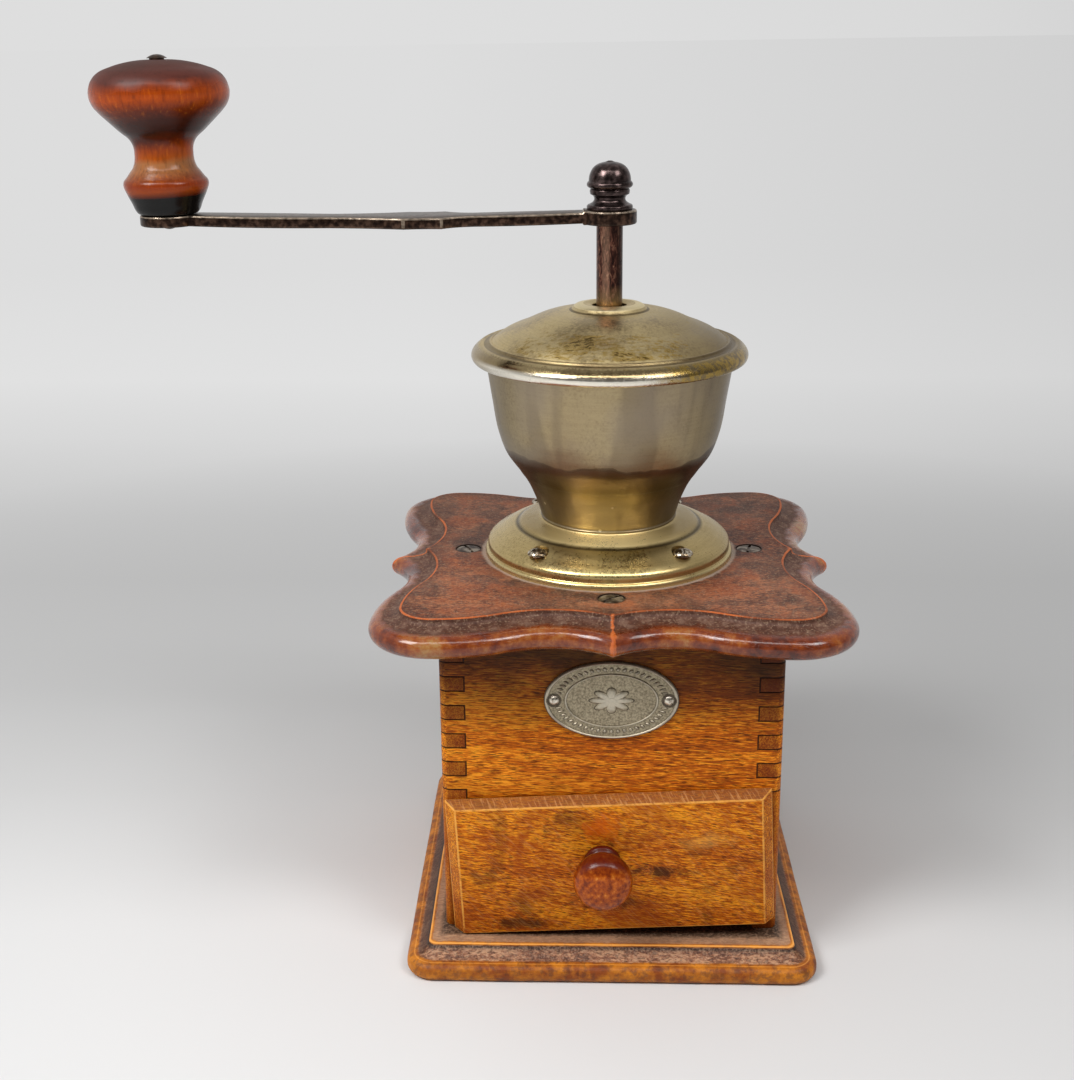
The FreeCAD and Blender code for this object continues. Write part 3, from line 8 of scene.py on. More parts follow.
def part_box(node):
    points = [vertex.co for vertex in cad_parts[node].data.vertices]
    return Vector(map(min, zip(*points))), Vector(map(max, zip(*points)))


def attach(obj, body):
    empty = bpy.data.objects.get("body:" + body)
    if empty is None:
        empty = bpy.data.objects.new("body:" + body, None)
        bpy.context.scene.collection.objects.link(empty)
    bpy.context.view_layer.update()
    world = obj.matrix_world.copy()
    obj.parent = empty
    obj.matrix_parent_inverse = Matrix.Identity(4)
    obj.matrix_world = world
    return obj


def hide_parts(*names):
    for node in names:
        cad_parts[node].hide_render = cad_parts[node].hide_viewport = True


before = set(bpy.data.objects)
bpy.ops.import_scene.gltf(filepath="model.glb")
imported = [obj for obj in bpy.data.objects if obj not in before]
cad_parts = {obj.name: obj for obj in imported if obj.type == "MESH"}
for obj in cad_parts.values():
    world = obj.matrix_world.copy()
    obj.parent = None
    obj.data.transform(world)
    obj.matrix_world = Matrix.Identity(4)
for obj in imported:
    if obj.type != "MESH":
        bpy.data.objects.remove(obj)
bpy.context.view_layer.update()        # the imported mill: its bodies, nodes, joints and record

# Base board: a thick plank of beech, planed to a round nose, with a slope up to the raised panel
# that carries the case. It was stained dark; the nose and the panel's arris have worn golden.
# Loops of points are stacked and skinned, and the plank's edges wander a little, as worn wood does.
MM = 0.001


def hue(code):
    """A paint chip's sRGB hex code, as the linear colour that a shader takes."""
    parts = [int(code[place:place + 2], 16) / 255 for place in (1, 3, 5)]
    return (*[p / 12.92 if p <= 0.04045 else ((p + 0.055) / 1.055) ** 2.4 for p in parts], 1.0)


def add(tree, kind, inputs=None, out=None, stops=None, **settings):
    """Add a node with its settings and links, and give back one of its outputs."""
    node = tree.nodes.new(kind)
    for name, value in settings.items():
        setattr(node, name, value)
    if stops:
        ramp = node.color_ramp
        ramp.elements.remove(ramp.elements[1])
        ramp.elements[0].position, ramp.elements[0].color = stops[0]
        for place, shade in stops[1:]:
            ramp.elements.new(place).color = shade
    live = [socket for socket in node.inputs if socket.enabled]
    for key, value in (inputs or {}).items():
        socket = live[key] if isinstance(key, int) else next(s for s in live if s.name == key)
        if isinstance(value, bpy.types.NodeSocket):
            tree.links.new(value, socket)
        else:
            socket.default_value = value
    if out:
        return node.outputs[out]
    return next((socket for socket in node.outputs if socket.enabled), None)


def new_finish(name):
    """An empty material and its node tree."""
    finish = bpy.data.materials.new(name)
    finish.use_nodes = True
    finish.node_tree.nodes.clear()
    return finish, finish.node_tree


def place_piece(name, data):
    """Put a mesh, a curve, a lamp or a camera in the scene, at the origin."""
    piece = bpy.data.objects.new(name, data)
    bpy.context.scene.collection.objects.link(piece)
    return piece


def coat(tree, colour, roughness, height, relief, **gloss):
    """Close a material: its surface shader, with a bump that is `relief` millimetres deep."""
    normal = add(tree, "ShaderNodeBump", {"Height": height, "Distance": relief * MM})
    sockets = {name.replace("_", " "): value for name, value in gloss.items()}
    surface = {"Base Color": colour, "Roughness": roughness, "Normal": normal, **sockets}
    shader = add(tree, "ShaderNodeBsdfPrincipled", surface)
    add(tree, "ShaderNodeOutputMaterial", {"Surface": shader})


def grain(tree, along, deep, body, pale, pore, stretch=0.13, band=6.0, fleck=0.8, show=0.8,
          lean=0.0):
    """Straight-grained beech: slow bands, fibres along the board and short dark flecks, in mm."""
    place = add(tree, "ShaderNodeTexCoord", out="Object")
    squeeze = [1.0, 1.0, 1.0]
    squeeze["xyz".index(along)] = 1 / stretch
    drawn = add(tree, "ShaderNodeMapping", {
        "Vector": place, "Rotation": (0.0, lean, 0.0), "Scale": squeeze}, vector_type="TEXTURE")
    bands = add(tree, "ShaderNodeTexNoise", {
        "Vector": drawn, "Scale": 1000 / band, "Detail": 4.0, "Distortion": 0.8})
    fibres = add(tree, "ShaderNodeTexNoise", {
        "Vector": drawn, "Scale": 1000 / fleck, "Detail": 4.0, "Roughness": 0.7, "Distortion": 0.5})
    both = add(tree, "ShaderNodeMix", {"Factor": 0.7, "A": bands, "B": fibres})
    tone = add(tree, "ShaderNodeValToRGB", {"Fac": both}, stops=[
        (0.42, deep), (0.5, body), (0.57, pale)])
    # Beech's rays and pores are 0.1 to 0.4 mm across, drawn near twice that so that they show
    vessels = add(tree, "ShaderNodeTexNoise", {
        "Vector": drawn, "Scale": 1500 / fleck, "Detail": 2.0})
    dash = add(tree, "ShaderNodeMapRange", {
        "Value": vessels, "From Min": 0.54, "From Max": 0.63, "To Max": show})
    colour = add(tree, "ShaderNodeMix", {"Factor": dash, "A": tone, "B": pore}, data_type="RGBA")
    height = add(tree, "ShaderNodeMath", {0: fibres, 1: dash}, operation="SUBTRACT")
    return place, colour, height


def rounded_loop(half_width, front, back, corner, height, bends=12, straights=60):
    """Points round a level rectangle with round corners, the same number for every size."""
    centres = [(half_width - corner, corner - front), (half_width - corner, back - corner),
               (corner - half_width, back - corner), (corner - half_width, corner - front)]
    points = []
    for number, (x, y) in enumerate(centres):
        for step in range(bends + 1):
            turn = math.radians(-90 + 90 * number + 90 / bends * step)
            points.append(Vector((
                x + corner * math.cos(turn), y + corner * math.sin(turn), height)))
        following = centres[(number + 1) % 4]
        turn = math.radians(90 * number)
        start = points[-1]
        end = Vector((*following, height)) + corner * Vector((math.cos(turn), math.sin(turn), 0))
        points += [start.lerp(end, step / straights) for step in range(1, straights)]
    return points


def skin(name, loops, closed=False):
    """A mesh through loops of points, with flat ends unless the loops close on themselves."""
    shape = bmesh.new()
    rows = [[shape.verts.new(point * MM) for point in loop] for loop in loops]
    pairs = list(zip(rows, rows[1:])) + ([(rows[-1], rows[0])] if closed else [])
    for lower, upper in pairs:
        for here in range(len(lower)):
            after = (here + 1) % len(lower)
            shape.faces.new((lower[here], lower[after], upper[after], upper[here]))
    if not closed:
        shape.faces.new(rows[0][::-1])
        shape.faces.new(rows[-1])
    bmesh.ops.recalc_face_normals(shape, faces=shape.faces)
    mesh = bpy.data.meshes.new(name)
    shape.to_mesh(mesh)
    shape.free()
    mesh.shade_smooth()
    mesh.set_sharp_from_angle(angle=math.radians(35))
    return place_piece(name, mesh)


def fit(piece, finish, body, slot, *nodes):
    """Give a piece its material and body, and let it stand for its CAD nodes."""
    piece.data.materials.clear()
    piece.data.materials.append(finish)
    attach(piece, body)
    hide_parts(*nodes)


def wander(point, size, depth):
    """Move a point inwards a little, by a noise whose swells are `size` millimetres long."""
    pull = 0.5 + 0.5 * noise.noise(point / size)
    reach = 60      # about how far an edge of the board is from its middle
    nearer = 1 - depth * pull / reach
    return Vector((point.x * nearer, point.y * nearer, point.z))


base_low, base_high = (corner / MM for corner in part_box("base_board"))
base_half, base_front, base_back = base_high.x, -base_low.y, base_high.y
base_corner, nose_radius, nose_top = 9.0, 2.4, 5.7
panel_inset, panel_foot, panel_corner = 7.0, 8.7, 2.5
nose_steps = 9
base_edge = []
for start, middle in ((-90, nose_radius), (0, nose_top - nose_radius)):
    for step in range(nose_steps):
        turn = math.radians(start + 90 * step / (nose_steps - 1))
        base_edge.append((
            nose_radius * (1 - math.cos(turn)), middle + nose_radius * math.sin(turn)))
base_edge += [
    (3.3, nose_top + 0.05), (3.7, 5.95), (4.3, 6.4), (5.0, 7.05), (5.7, 7.65), (6.3, 8.15),
    (6.8, panel_foot - 0.1), (panel_inset, panel_foot + 0.15), (panel_inset, 9.25), (7.1, 9.5),
    (7.35, 9.66), (7.7, base_high.z), (8.3, base_high.z), (9.5, base_high.z)]
# How far each row is rubbed: the nose, then the stained slope, the panel's arris and its flat
base_rub = ([1.3] * nose_steps + [1.1] * 6 + [1.2, 1.35, 1.75, 0.7, 0.1, 0, 0, -0.1, -0.3, -1, -0.9]
            + [0.7, 2.1, 2.1, 1.6, 0.2, 0.0])
loops = []
for inset, height in base_edge:
    corner = max(base_corner - inset, panel_corner - 0.3 * max(0, inset - panel_inset))
    loop = rounded_loop(base_half - inset, base_front - inset, base_back - inset, corner, height)
    loops.append([wander(point, 23, 0.35) for point in loop])
base = skin("base_board_worn", loops)
rub_layer = base.data.attributes.new("rub", "FLOAT", "POINT")
rub_layer.data.foreach_set("value", [value for value in base_rub for _ in loops[0]])

# Beech stained nearly black-brown and handled: dusty on the flats, golden where the stain has gone
base_finish, tree = new_finish("Dark stained beech, worn")
place, colour, height = grain(
    tree, "x", hue("#5a3220"), hue("#8c583a"), hue("#b88a66"), hue("#38200f"), stretch=0.4,
    show=0.6)
# A noise's Scale is 1000 over the size of its swells in mm, so these patches are 6 mm across
patches = add(tree, "ShaderNodeTexNoise", {
    "Vector": place, "Scale": 160.0, "Detail": 6.0, "Roughness": 0.65})
tone = add(tree, "ShaderNodeMapRange", {"Value": patches, "From Min": 0.38, "From Max": 0.62})
golden = add(tree, "ShaderNodeMix", {
    "Factor": tone, "A": hue("#843e0c"), "B": hue("#c87a18")}, data_type="RGBA")
rub = add(tree, "ShaderNodeAttribute", attribute_name="rub", out="Fac")
thin = add(tree, "ShaderNodeTexNoise", {
    "Vector": place, "Scale": 400.0, "Detail": 5.0, "Roughness": 0.7})
chance = add(tree, "ShaderNodeMapRange", {
    "Value": thin, "From Min": 0.42, "From Max": 0.53, "To Min": 0.4})
bare = add(tree, "ShaderNodeMath", {0: rub, 1: chance}, operation="MULTIPLY", use_clamp=True)
bright = add(tree, "ShaderNodeMapRange", {
    "Value": rub, "From Min": 1.4, "From Max": 2.0, "To Max": 0.85})
golden = add(tree, "ShaderNodeMix", {
    "Factor": bright, "A": golden, "B": hue("#f2a850")}, data_type="RGBA")
# Stain is thin on the nose; dust dulls the panel; the sides, away from the light, are darker
stained = add(tree, "ShaderNodeMapRange", {"Value": rub, "From Min": 0.3, "To Max": 0.75})
parts = add(tree, "ShaderNodeSeparateXYZ", {"Vector": add(tree, "ShaderNodeVectorMath", {
    0: place}, operation="ABSOLUTE")})
panel = add(tree, "ShaderNodeMapRange", {
    "Value": parts.node.outputs["Z"], "From Min": (base_high.z - 0.4) * MM,
    "From Max": base_high.z * MM, "To Max": 0.5})
turned_aside = add(tree, "ShaderNodeSeparateXYZ", {"Vector": add(tree, "ShaderNodeVectorMath", {
    0: add(tree, "ShaderNodeNewGeometry", out="Normal")}, operation="ABSOLUTE")})
shaded = add(tree, "ShaderNodeMapRange", {
    "Value": turned_aside, "From Min": 0.3, "From Max": 0.7, "To Max": 0.85})
# Painted contact shadow and old grease make a dark line where the case and drawer stand on the
# panel
beside = add(tree, "ShaderNodeMath", {
    0: parts, 1: -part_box("side_board_left")[0].x}, operation="SUBTRACT")
before = add(tree, "ShaderNodeMath", {
    0: parts.node.outputs["Y"], 1: -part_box("drawer_front")[0].y}, operation="SUBTRACT")
before = add(tree, "ShaderNodeMath", {0: thin, 1: 3 * MM, 2: before}, operation="MULTIPLY_ADD")
out = add(tree, "ShaderNodeMath", {0: beside, 1: before}, operation="MAXIMUM")
contact_shadow_and_grease = add(tree, "ShaderNodeMapRange", {
    "Value": out, "From Min": 2.2 * MM, "From Max": 0.5 * MM, "To Max": 0.85})
contact_shadow_and_grease = add(tree, "ShaderNodeMath", {0: contact_shadow_and_grease, 1: panel}, operation="MULTIPLY")
contact_shadow_and_grease = add(tree, "ShaderNodeMath", {0: contact_shadow_and_grease, 1: 2.0}, operation="MULTIPLY", use_clamp=True)
# The crease at the slope's foot, where rub is below 0, is painted darker
hollow_darkening = add(tree, "ShaderNodeMapRange", {
    "Value": rub, "From Min": 0.0, "From Max": -0.8, "To Max": 0.85})
specks = add(tree, "ShaderNodeTexNoise", {"Vector": place, "Scale": 1500.0, "Detail": 2.0})
pale = add(tree, "ShaderNodeMapRange", {
    "Value": specks, "From Min": 0.44, "From Max": 0.72, "To Max": 0.5})
dusted = add(tree, "ShaderNodeMapRange", {"Value": rub, "From Min": 0.5, "From Max": 0.1})
pale = add(tree, "ShaderNodeMath", {0: pale, 1: dusted}, operation="MULTIPLY")
pale = add(tree, "ShaderNodeMath", {0: pale, 1: shaded}, operation="SUBTRACT", use_clamp=True)
# The tints lie over one another in this order, each where its mask says
for mask, tint in (
        (stained, hue("#4c240f")), (panel, hue("#b08e70")), (shaded, hue("#3a2014")),
        (bare, golden), (contact_shadow_and_grease, hue("#180c06")), (hollow_darkening, hue("#201008")), (pale, hue("#ac8a70"))):
    colour = add(tree, "ShaderNodeMix", {"Factor": mask, "A": colour, "B": tint}, data_type="RGBA")
coat(tree, colour, 0.5, height, 0.06, Specular_IOR_Level=0.3)
fit(base, base_finish, "case", "base_wood", "base_board")

# Case: four beech boards, finger-jointed and glued at the corners, stained amber and shellacked.
# The CAD boards have the joints; each is copied with its edges eased, so the joints show as lines.


def eased_copy(node, name, ease):
    """A CAD piece's shape, its sharp edges eased by so many millimetres and marked as "edge"."""
    shape = bmesh.new()
    shape.from_mesh(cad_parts[node].data)
    layer = shape.faces.layers.float.new("edge")
    bmesh.ops.remove_doubles(shape, verts=shape.verts, dist=1e-6)
    bmesh.ops.dissolve_limit(
        shape, angle_limit=math.radians(0.5), verts=shape.verts, edges=shape.edges)
    sharp = [edge for edge in shape.edges if len(edge.link_faces) == 2 and edge.is_convex
             and edge.calc_face_angle() > math.radians(25)]
    eased = bmesh.ops.bevel(shape, geom=sharp, offset=ease * MM, segments=2, profile=0.5,
                            affect="EDGES", clamp_overlap=False)
    for face in eased["faces"]:
        face[layer] = 1.0
    mesh = bpy.data.meshes.new(name)
    shape.to_mesh(mesh)
    shape.free()
    if "custom_normal" in mesh.attributes:
        mesh.attributes.remove(mesh.attributes["custom_normal"])
    mesh.shade_smooth()
    mesh.set_sharp_from_angle(angle=math.radians(24))
    return place_piece(name, mesh)


def case_wood(name, along):
    """Amber beech: grime and painted shade under the overhanging top, gold lower down, dark in the
    joints.
    """
    finish, tree = new_finish(name)
    place, colour, height = grain(
        tree, along, hue("#944409"), hue("#cc680c"), hue("#f29c24"), hue("#522604"), stretch=0.09,
        band=9.0, fleck=0.42, show=0.85, lean=0.04)
    where = add(tree, "ShaderNodeSeparateXYZ", {"Vector": place}, out="Z")
    cloud = add(tree, "ShaderNodeTexNoise", {"Vector": place, "Scale": 45.0, "Detail": 4.0})
    drift = add(tree, "ShaderNodeMath", {0: cloud, 1: 30 * MM, 2: where}, operation="MULTIPLY_ADD")
    low = add(tree, "ShaderNodeMapRange", {
        "Value": drift, "From Min": 82 * MM, "From Max": 60 * MM, "To Max": 0.5})
    # Towards the top board's overhang the wood darkens, as grime and as the overhang's painted
    # shadow
    grime = add(tree, "ShaderNodeMapRange", {
        "Value": drift, "From Min": 93 * MM, "From Max": 120 * MM, "To Max": 0.92})
    facing = add(tree, "ShaderNodeNewGeometry", out="Normal")
    across = add(tree, "ShaderNodeSeparateXYZ", {"Vector": facing}, out=along.upper())
    end = add(tree, "ShaderNodeMath", {0: across}, operation="ABSOLUTE")
    end_grain = add(tree, "ShaderNodeMapRange", {
        "Value": end, "From Min": 0.85, "From Max": 0.99, "To Max": 0.6})
    edge = add(tree, "ShaderNodeAttribute", attribute_name="edge", out="Fac")
    seam = add(tree, "ShaderNodeMath", {0: edge, 1: 0.9}, operation="MULTIPLY")
    for mask, tint in (
            (low, "#843c08"), (grime, "#35200f"), (end_grain, "#5c240c"), (seam, "#260f04")):
        colour = add(tree, "ShaderNodeMix", {
            "Factor": mask, "A": colour, "B": hue(tint)}, data_type="RGBA")
    coat(tree, colour, 0.45, height, 0.05, Specular_IOR_Level=0.13)
    return finish


case_x = case_wood("Amber stained beech, grain across", "x")
case_y = case_wood("Amber stained beech, grain front to back", "y")
for node, finish in (("front_board", case_x), ("back_board", case_x),
                     ("side_board_left", case_y), ("side_board_right", case_y)):
    fit(eased_copy(node, node + "_eased", 0.25), finish, "case", "case_wood", node)

# Mill inside the case: cast burrs, a yoke and a spring, turned or filed and left dark and oiled.
# These CAD pieces keep their shape and take the iron's finish; only the drawer's way shows them.


def keep_shape(finish, *nodes):
    """Give CAD pieces their finish, and leave their shape and body as they are."""
    for node in nodes:
        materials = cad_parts[node].data.materials
        materials.clear()
        materials.append(finish)


cast_iron, tree = new_finish("Oiled cast iron")
place = add(tree, "ShaderNodeTexCoord", out="Object")
pitting = add(tree, "ShaderNodeTexNoise", {"Vector": place, "Scale": 900.0, "Detail": 6.0})
clouds = add(tree, "ShaderNodeTexNoise", {"Vector": place, "Scale": 110.0, "Detail": 3.0})
shade = add(tree, "ShaderNodeValToRGB", {"Fac": clouds}, stops=[
    (0.3, hue("#2b2522")), (0.6, hue("#4a403a")), (0.75, hue("#5f4637"))])
rub = add(tree, "ShaderNodeMapRange", {"Value": pitting, "To Min": 0.38, "To Max": 0.62})
coat(tree, shade, rub, pitting, 0.08, Metallic=0.85)
keep_shape(cast_iron, "bearing_bridge", "outer_burr", "lower_yoke", "adjusting_screw", "inner_burr",
           "detent_spring", "thrust_ball", "burr_pin", "spring_rivet", "frame_nuts")

# Top board: one beech board with a lobed outline, moulded as a round nose, a cove and a step.
# It is stained red-brown and varnished: dull dust in the cove, bright rubbed wood on the edges.
board_low, board_high = (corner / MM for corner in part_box("top_board"))
lobe_reach, lobe_corner = board_high.x, 20.0
corner_centre = lobe_reach - lobe_corner
valley_half, valley_dip, swell_fall = 18.0, 7.0, 8.0
valley_radius = (valley_half ** 2 + valley_dip ** 2) / (2 * valley_dip)
valley_centre = lobe_reach - swell_fall + valley_radius
swell_run = corner_centre - valley_half
swell_radius = (swell_run ** 2 + swell_fall ** 2) / (2 * swell_fall) - valley_radius
swell_centre = lobe_reach - swell_radius
nose_reach, cove_reach, cove_rise, step_rise, mill_bore = 3.5, 6.0, 1.9, 1.0, 21.5
board_rise = board_high.z - board_low.z
nose_half = (board_rise - cove_rise - step_rise) / 2
far_off = 30.0


def lobed_loop(inset, height):
    """The board's outline moved inwards: its points, and how far each of them is from a cusp."""
    lean = math.degrees(math.atan2(swell_run, valley_centre - swell_centre))
    hollow = valley_radius + inset
    cusp = math.degrees(math.asin(valley_half / hollow))
    arcs = [(-corner_centre, -corner_centre, lobe_corner - inset, 180, 270, 26),
            (-corner_centre, -swell_centre, swell_radius - inset, 270, 270 + lean, 26),
            (-valley_half, -valley_centre, hollow, 90 + lean, 90 - cusp, 34),
            (valley_half, -valley_centre, hollow, 90 + cusp, 90 - lean, 34),
            (corner_centre, -swell_centre, swell_radius - inset, 270 - lean, 270, 26)]
    points, ridge = [], []
    for quarter in range(4):
        for number, (x, y, radius, start, end, count) in enumerate(arcs):
            for step in range(count):
                share = step / count
                if number == 2:
                    share = 1 - (1 - share) ** 1.6
                if number == 3:
                    share = share ** 1.6
                turn = math.radians(start + (end - start) * share)
                point = Vector((x + radius * math.cos(turn), y + radius * math.sin(turn), height))
                spare = abs(turn - math.radians(90 - cusp if number == 2 else 90 + cusp)) * radius
                ridge.append(spare if number in (2, 3) else far_off)
                points.append(Matrix.Rotation(quarter * math.pi / 2, 3, "Z") @ point)
    return points, ridge


# Rows of the moulding: how far in, how far up, and the zone, 0 to 1 on the nose, to 2 in the cove,
# to 3.2 on the step's arris and 4 on the flat
nose_steps, cove_steps, flat_steps = 16, 8, 10
edge_rows = []
for step in range(nose_steps + 1):
    turn = math.radians(-90 + 180 * step / nose_steps)
    edge_rows.append((nose_reach * (1 - math.cos(turn)), nose_half * (1 + math.sin(turn)),
                      step / nose_steps))
for step in range(1, cove_steps + 1):
    turn = math.radians(90 * step / cove_steps)
    edge_rows.append((nose_reach + cove_reach * math.sin(turn),
                      2 * nose_half + cove_rise * (1 - math.cos(turn)), 1 + step / cove_steps))
step_inset = nose_reach + cove_reach
edge_rows += [(step_inset + 0.02, board_rise - 0.5, 2.4), (step_inset + 0.1, board_rise - 0.2, 2.8),
              (step_inset + 0.3, board_rise - 0.04, 3.0), (step_inset + 0.65, board_rise, 3.2),
              (step_inset + 1.3, board_rise, 3.6)]
loops, ridges, zones = [], [], []
for inset, rise, zone in edge_rows:
    points, ridge = lobed_loop(inset, board_low.z + rise)
    loops.append(points)
    ridges += ridge
    zones += [zone] * len(points)
inner = loops[-1]
for step in range(1, flat_steps + 1):
    share = 1 - (1 - step / flat_steps) ** 1.2
    row = []
    for point in inner:
        mouth = Vector((point.x, point.y, 0)).normalized() * mill_bore
        row.append(Vector((*point.xy.lerp(mouth.xy, share), board_high.z)))
    loops.append(row)
    zones += [4.0] * len(row)
loops.append([Vector((*point.xy, board_low.z)) for point in loops[-1]])
zones += [0.0] * len(inner)
# The board has shrunk by 0.4 per cent and a little unevenly, as old beech does
for loop in loops:
    for point in loop:
        shrunk = 1 - 0.004 * (1 + 0.12 * noise.noise(point / 17))
        point.x *= shrunk
        point.y *= shrunk
ridges += [far_off] * (len(zones) - len(ridges))
top = skin("top_board_moulded", loops, closed=True)
for name, values in (("zone", zones), ("ridge", ridges)):
    layer = top.data.attributes.new(name, "FLOAT", "POINT")
    layer.data.foreach_set("value", values)


def from_axis(tree, place):
    """How far a point is from the mill's upright axis."""
    level = add(tree, "ShaderNodeVectorMath", {0: place, 1: (1.0, 1.0, 0.0)}, operation="MULTIPLY")
    return add(tree, "ShaderNodeVectorMath", {0: level}, out="Value", operation="LENGTH")


# Beech stained red-brown, brushed with varnish and rubbed: the nose still shines, the cove is full
# of grey dust, and where the step's arris and the cusps have rubbed through they are orange.
varnish, tree = new_finish("Red-brown stained beech under worn varnish")
place, colour, height = grain(
    tree, "x", hue("#46200f"), hue("#743a20"), hue("#a4643c"), hue("#28110a"), stretch=0.4,
    band=14.0, fleck=0.7, show=0.6)
zone = add(tree, "ShaderNodeAttribute", attribute_name="zone", out="Fac")
ridge = add(tree, "ShaderNodeAttribute", attribute_name="ridge", out="Fac")
ragged = add(tree, "ShaderNodeTexNoise", {
    "Vector": place, "Scale": 300.0, "Detail": 6.0, "Roughness": 0.7})
amber = add(tree, "ShaderNodeTexNoise", {"Vector": place, "Scale": 45.0, "Detail": 5.0})
specks = add(tree, "ShaderNodeTexNoise", {"Vector": place, "Scale": 1500.0, "Detail": 2.0})
nose_tone = add(tree, "ShaderNodeValToRGB", {"Fac": add(tree, "ShaderNodeMix", {
    "Factor": 0.4, "A": amber, "B": ragged})}, stops=[
    (0.4, hue("#64200c")), (0.48, hue("#b04a14")), (0.54, hue("#e07a2c")), (0.62, hue("#fabc70"))])
shift = add(tree, "ShaderNodeMath", {0: ragged, 1: 0.8, 2: zone}, operation="MULTIPLY_ADD")
on_nose = add(tree, "ShaderNodeMapRange", {"Value": shift, "From Min": 1.55, "From Max": 1.3})
into_cove = add(tree, "ShaderNodeMapRange", {"Value": shift, "From Min": 1.45, "From Max": 1.75})
out_of_cove = add(tree, "ShaderNodeMapRange", {"Value": shift, "From Min": 3.1, "From Max": 2.75})
dust = add(tree, "ShaderNodeMath", {0: into_cove, 1: out_of_cove}, operation="MULTIPLY")
grime = add(tree, "ShaderNodeValToRGB", {"Fac": ragged}, stops=[
    (0.36, hue("#4c3224")), (0.5, hue("#7e5846")), (0.62, hue("#ae8a74"))])
dusty = add(tree, "ShaderNodeMath", {0: dust, 1: 0.85}, operation="MULTIPLY")
arris = add(tree, "ShaderNodeMapRange", {"Value": add(tree, "ShaderNodeMath", {
    0: add(tree, "ShaderNodeMath", {0: ragged, 1: 0.4, 2: zone}, operation="MULTIPLY_ADD"),
    1: 3.2, 2: 0.28}, operation="COMPARE"), "To Max": 0.95})
# The nose, cove and step are painted darker than the flat
moulding_darkening = add(tree, "ShaderNodeMapRange", {
    "Value": zone, "From Min": 4.0, "From Max": 3.4, "To Max": 0.65})
near = add(tree, "ShaderNodeMath", {0: ragged, 1: -3.4, 2: ridge}, operation="MULTIPLY_ADD")
near = add(tree, "ShaderNodeMath", {0: on_nose, 1: -0.5, 2: near}, operation="MULTIPLY_ADD")
cusp = add(tree, "ShaderNodeMapRange", {"Value": near, "From Min": -1.0, "From Max": -1.5})
live = add(tree, "ShaderNodeMapRange", {
    "Value": amber, "From Min": 0.36, "From Max": 0.52, "To Min": 0.25})
line = add(tree, "ShaderNodeMath", {0: arris, 1: live}, operation="MULTIPLY")
line = add(tree, "ShaderNodeMath", {0: line, 1: cusp}, operation="MAXIMUM")
rubbed = add(tree, "ShaderNodeMix", {"Factor": ragged, "A": hue("#8c2c08"), "B": hue("#dc7a38")},
             data_type="RGBA")
drift = add(tree, "ShaderNodeMapRange", {
    "Value": amber, "From Min": 0.62, "From Max": 0.42, "To Max": 0.35})
haze = add(tree, "ShaderNodeMath", {0: drift, 1: ragged}, operation="MULTIPLY")
up_top = add(tree, "ShaderNodeMapRange", {"Value": zone, "From Min": 3.2, "From Max": 4.0})
haze = add(tree, "ShaderNodeMath", {0: haze, 1: up_top}, operation="MULTIPLY")
stain = add(tree, "ShaderNodeMapRange", {
    "Value": amber, "From Min": 0.46, "From Max": 0.38, "To Max": 0.45})
stain = add(tree, "ShaderNodeMath", {0: stain, 1: up_top}, operation="MULTIPLY")
ember = add(tree, "ShaderNodeTexNoise", {
    "Vector": place, "Scale": 90.0, "Detail": 6.0, "Roughness": 0.65, "Distortion": 0.8})
glowing = add(tree, "ShaderNodeMapRange", {
    "Value": ember, "From Min": 0.5, "From Max": 0.6, "To Max": 0.4})
glowing = add(tree, "ShaderNodeMath", {0: glowing, 1: up_top}, operation="MULTIPLY")
burnt = add(tree, "ShaderNodeMapRange", {
    "Value": ember, "From Min": 0.48, "From Max": 0.38, "To Max": 0.6})
burnt = add(tree, "ShaderNodeMath", {0: burnt, 1: up_top}, operation="MULTIPLY")
pale = add(tree, "ShaderNodeMapRange", {
    "Value": specks, "From Min": 0.56, "From Max": 0.68, "To Max": 0.36})
off_nose = add(tree, "ShaderNodeMath", {0: 1.0, 1: on_nose}, operation="SUBTRACT")
pale = add(tree, "ShaderNodeMath", {0: pale, 1: off_nose}, operation="MULTIPLY")
# The flange has kept grey dust and old wax at its edge, and round that dark wood and painted shade
out = from_axis(tree, place)
ring = add(tree, "ShaderNodeMapRange", {
    "Value": out, "From Min": 52 * MM, "From Max": 42 * MM, "To Max": 0.7})
ring = add(tree, "ShaderNodeMath", {0: ring, 1: amber}, operation="MULTIPLY")
wax = add(tree, "ShaderNodeMath", {0: ragged, 1: 2 * MM, 2: out}, operation="MULTIPLY_ADD")
wax = add(tree, "ShaderNodeMapRange", {
    "Value": wax, "From Min": 43.4 * MM, "From Max": 42.6 * MM, "To Max": 0.5})
# From the nose inwards: dust, the darker moulding, rubbed lines, haze, embers, burns, stains,
# specks, the ring
for mask, tint in (
        (on_nose, nose_tone), (dusty, grime), (moulding_darkening, hue("#38180c")), (line, rubbed),
        (haze, hue("#a08470")), (glowing, hue("#984a20")), (burnt, hue("#3a1a0e")),
        (stain, hue("#2e150c")), (pale, hue("#b09478")), (ring, hue("#2a1410")),
        (wax, hue("#b8a898"))):
    colour = add(tree, "ShaderNodeMix", {"Factor": mask, "A": colour, "B": tint}, data_type="RGBA")
gloss = add(tree, "ShaderNodeMapRange", {"Value": on_nose, "To Min": 0.5, "To Max": 0.08})
varnished = add(tree, "ShaderNodeMath", {0: on_nose, 1: 0.5}, operation="MULTIPLY")
uneven = add(tree, "ShaderNodeMath", {0: ragged, 1: 0.2, 2: gloss}, operation="MULTIPLY_ADD")

# Screws: slotted steel, driven flush into the top board and up through the base, and round-headed
# ones that hold the flange. One tree turns the head, cuts its slot and sets one at each hole.


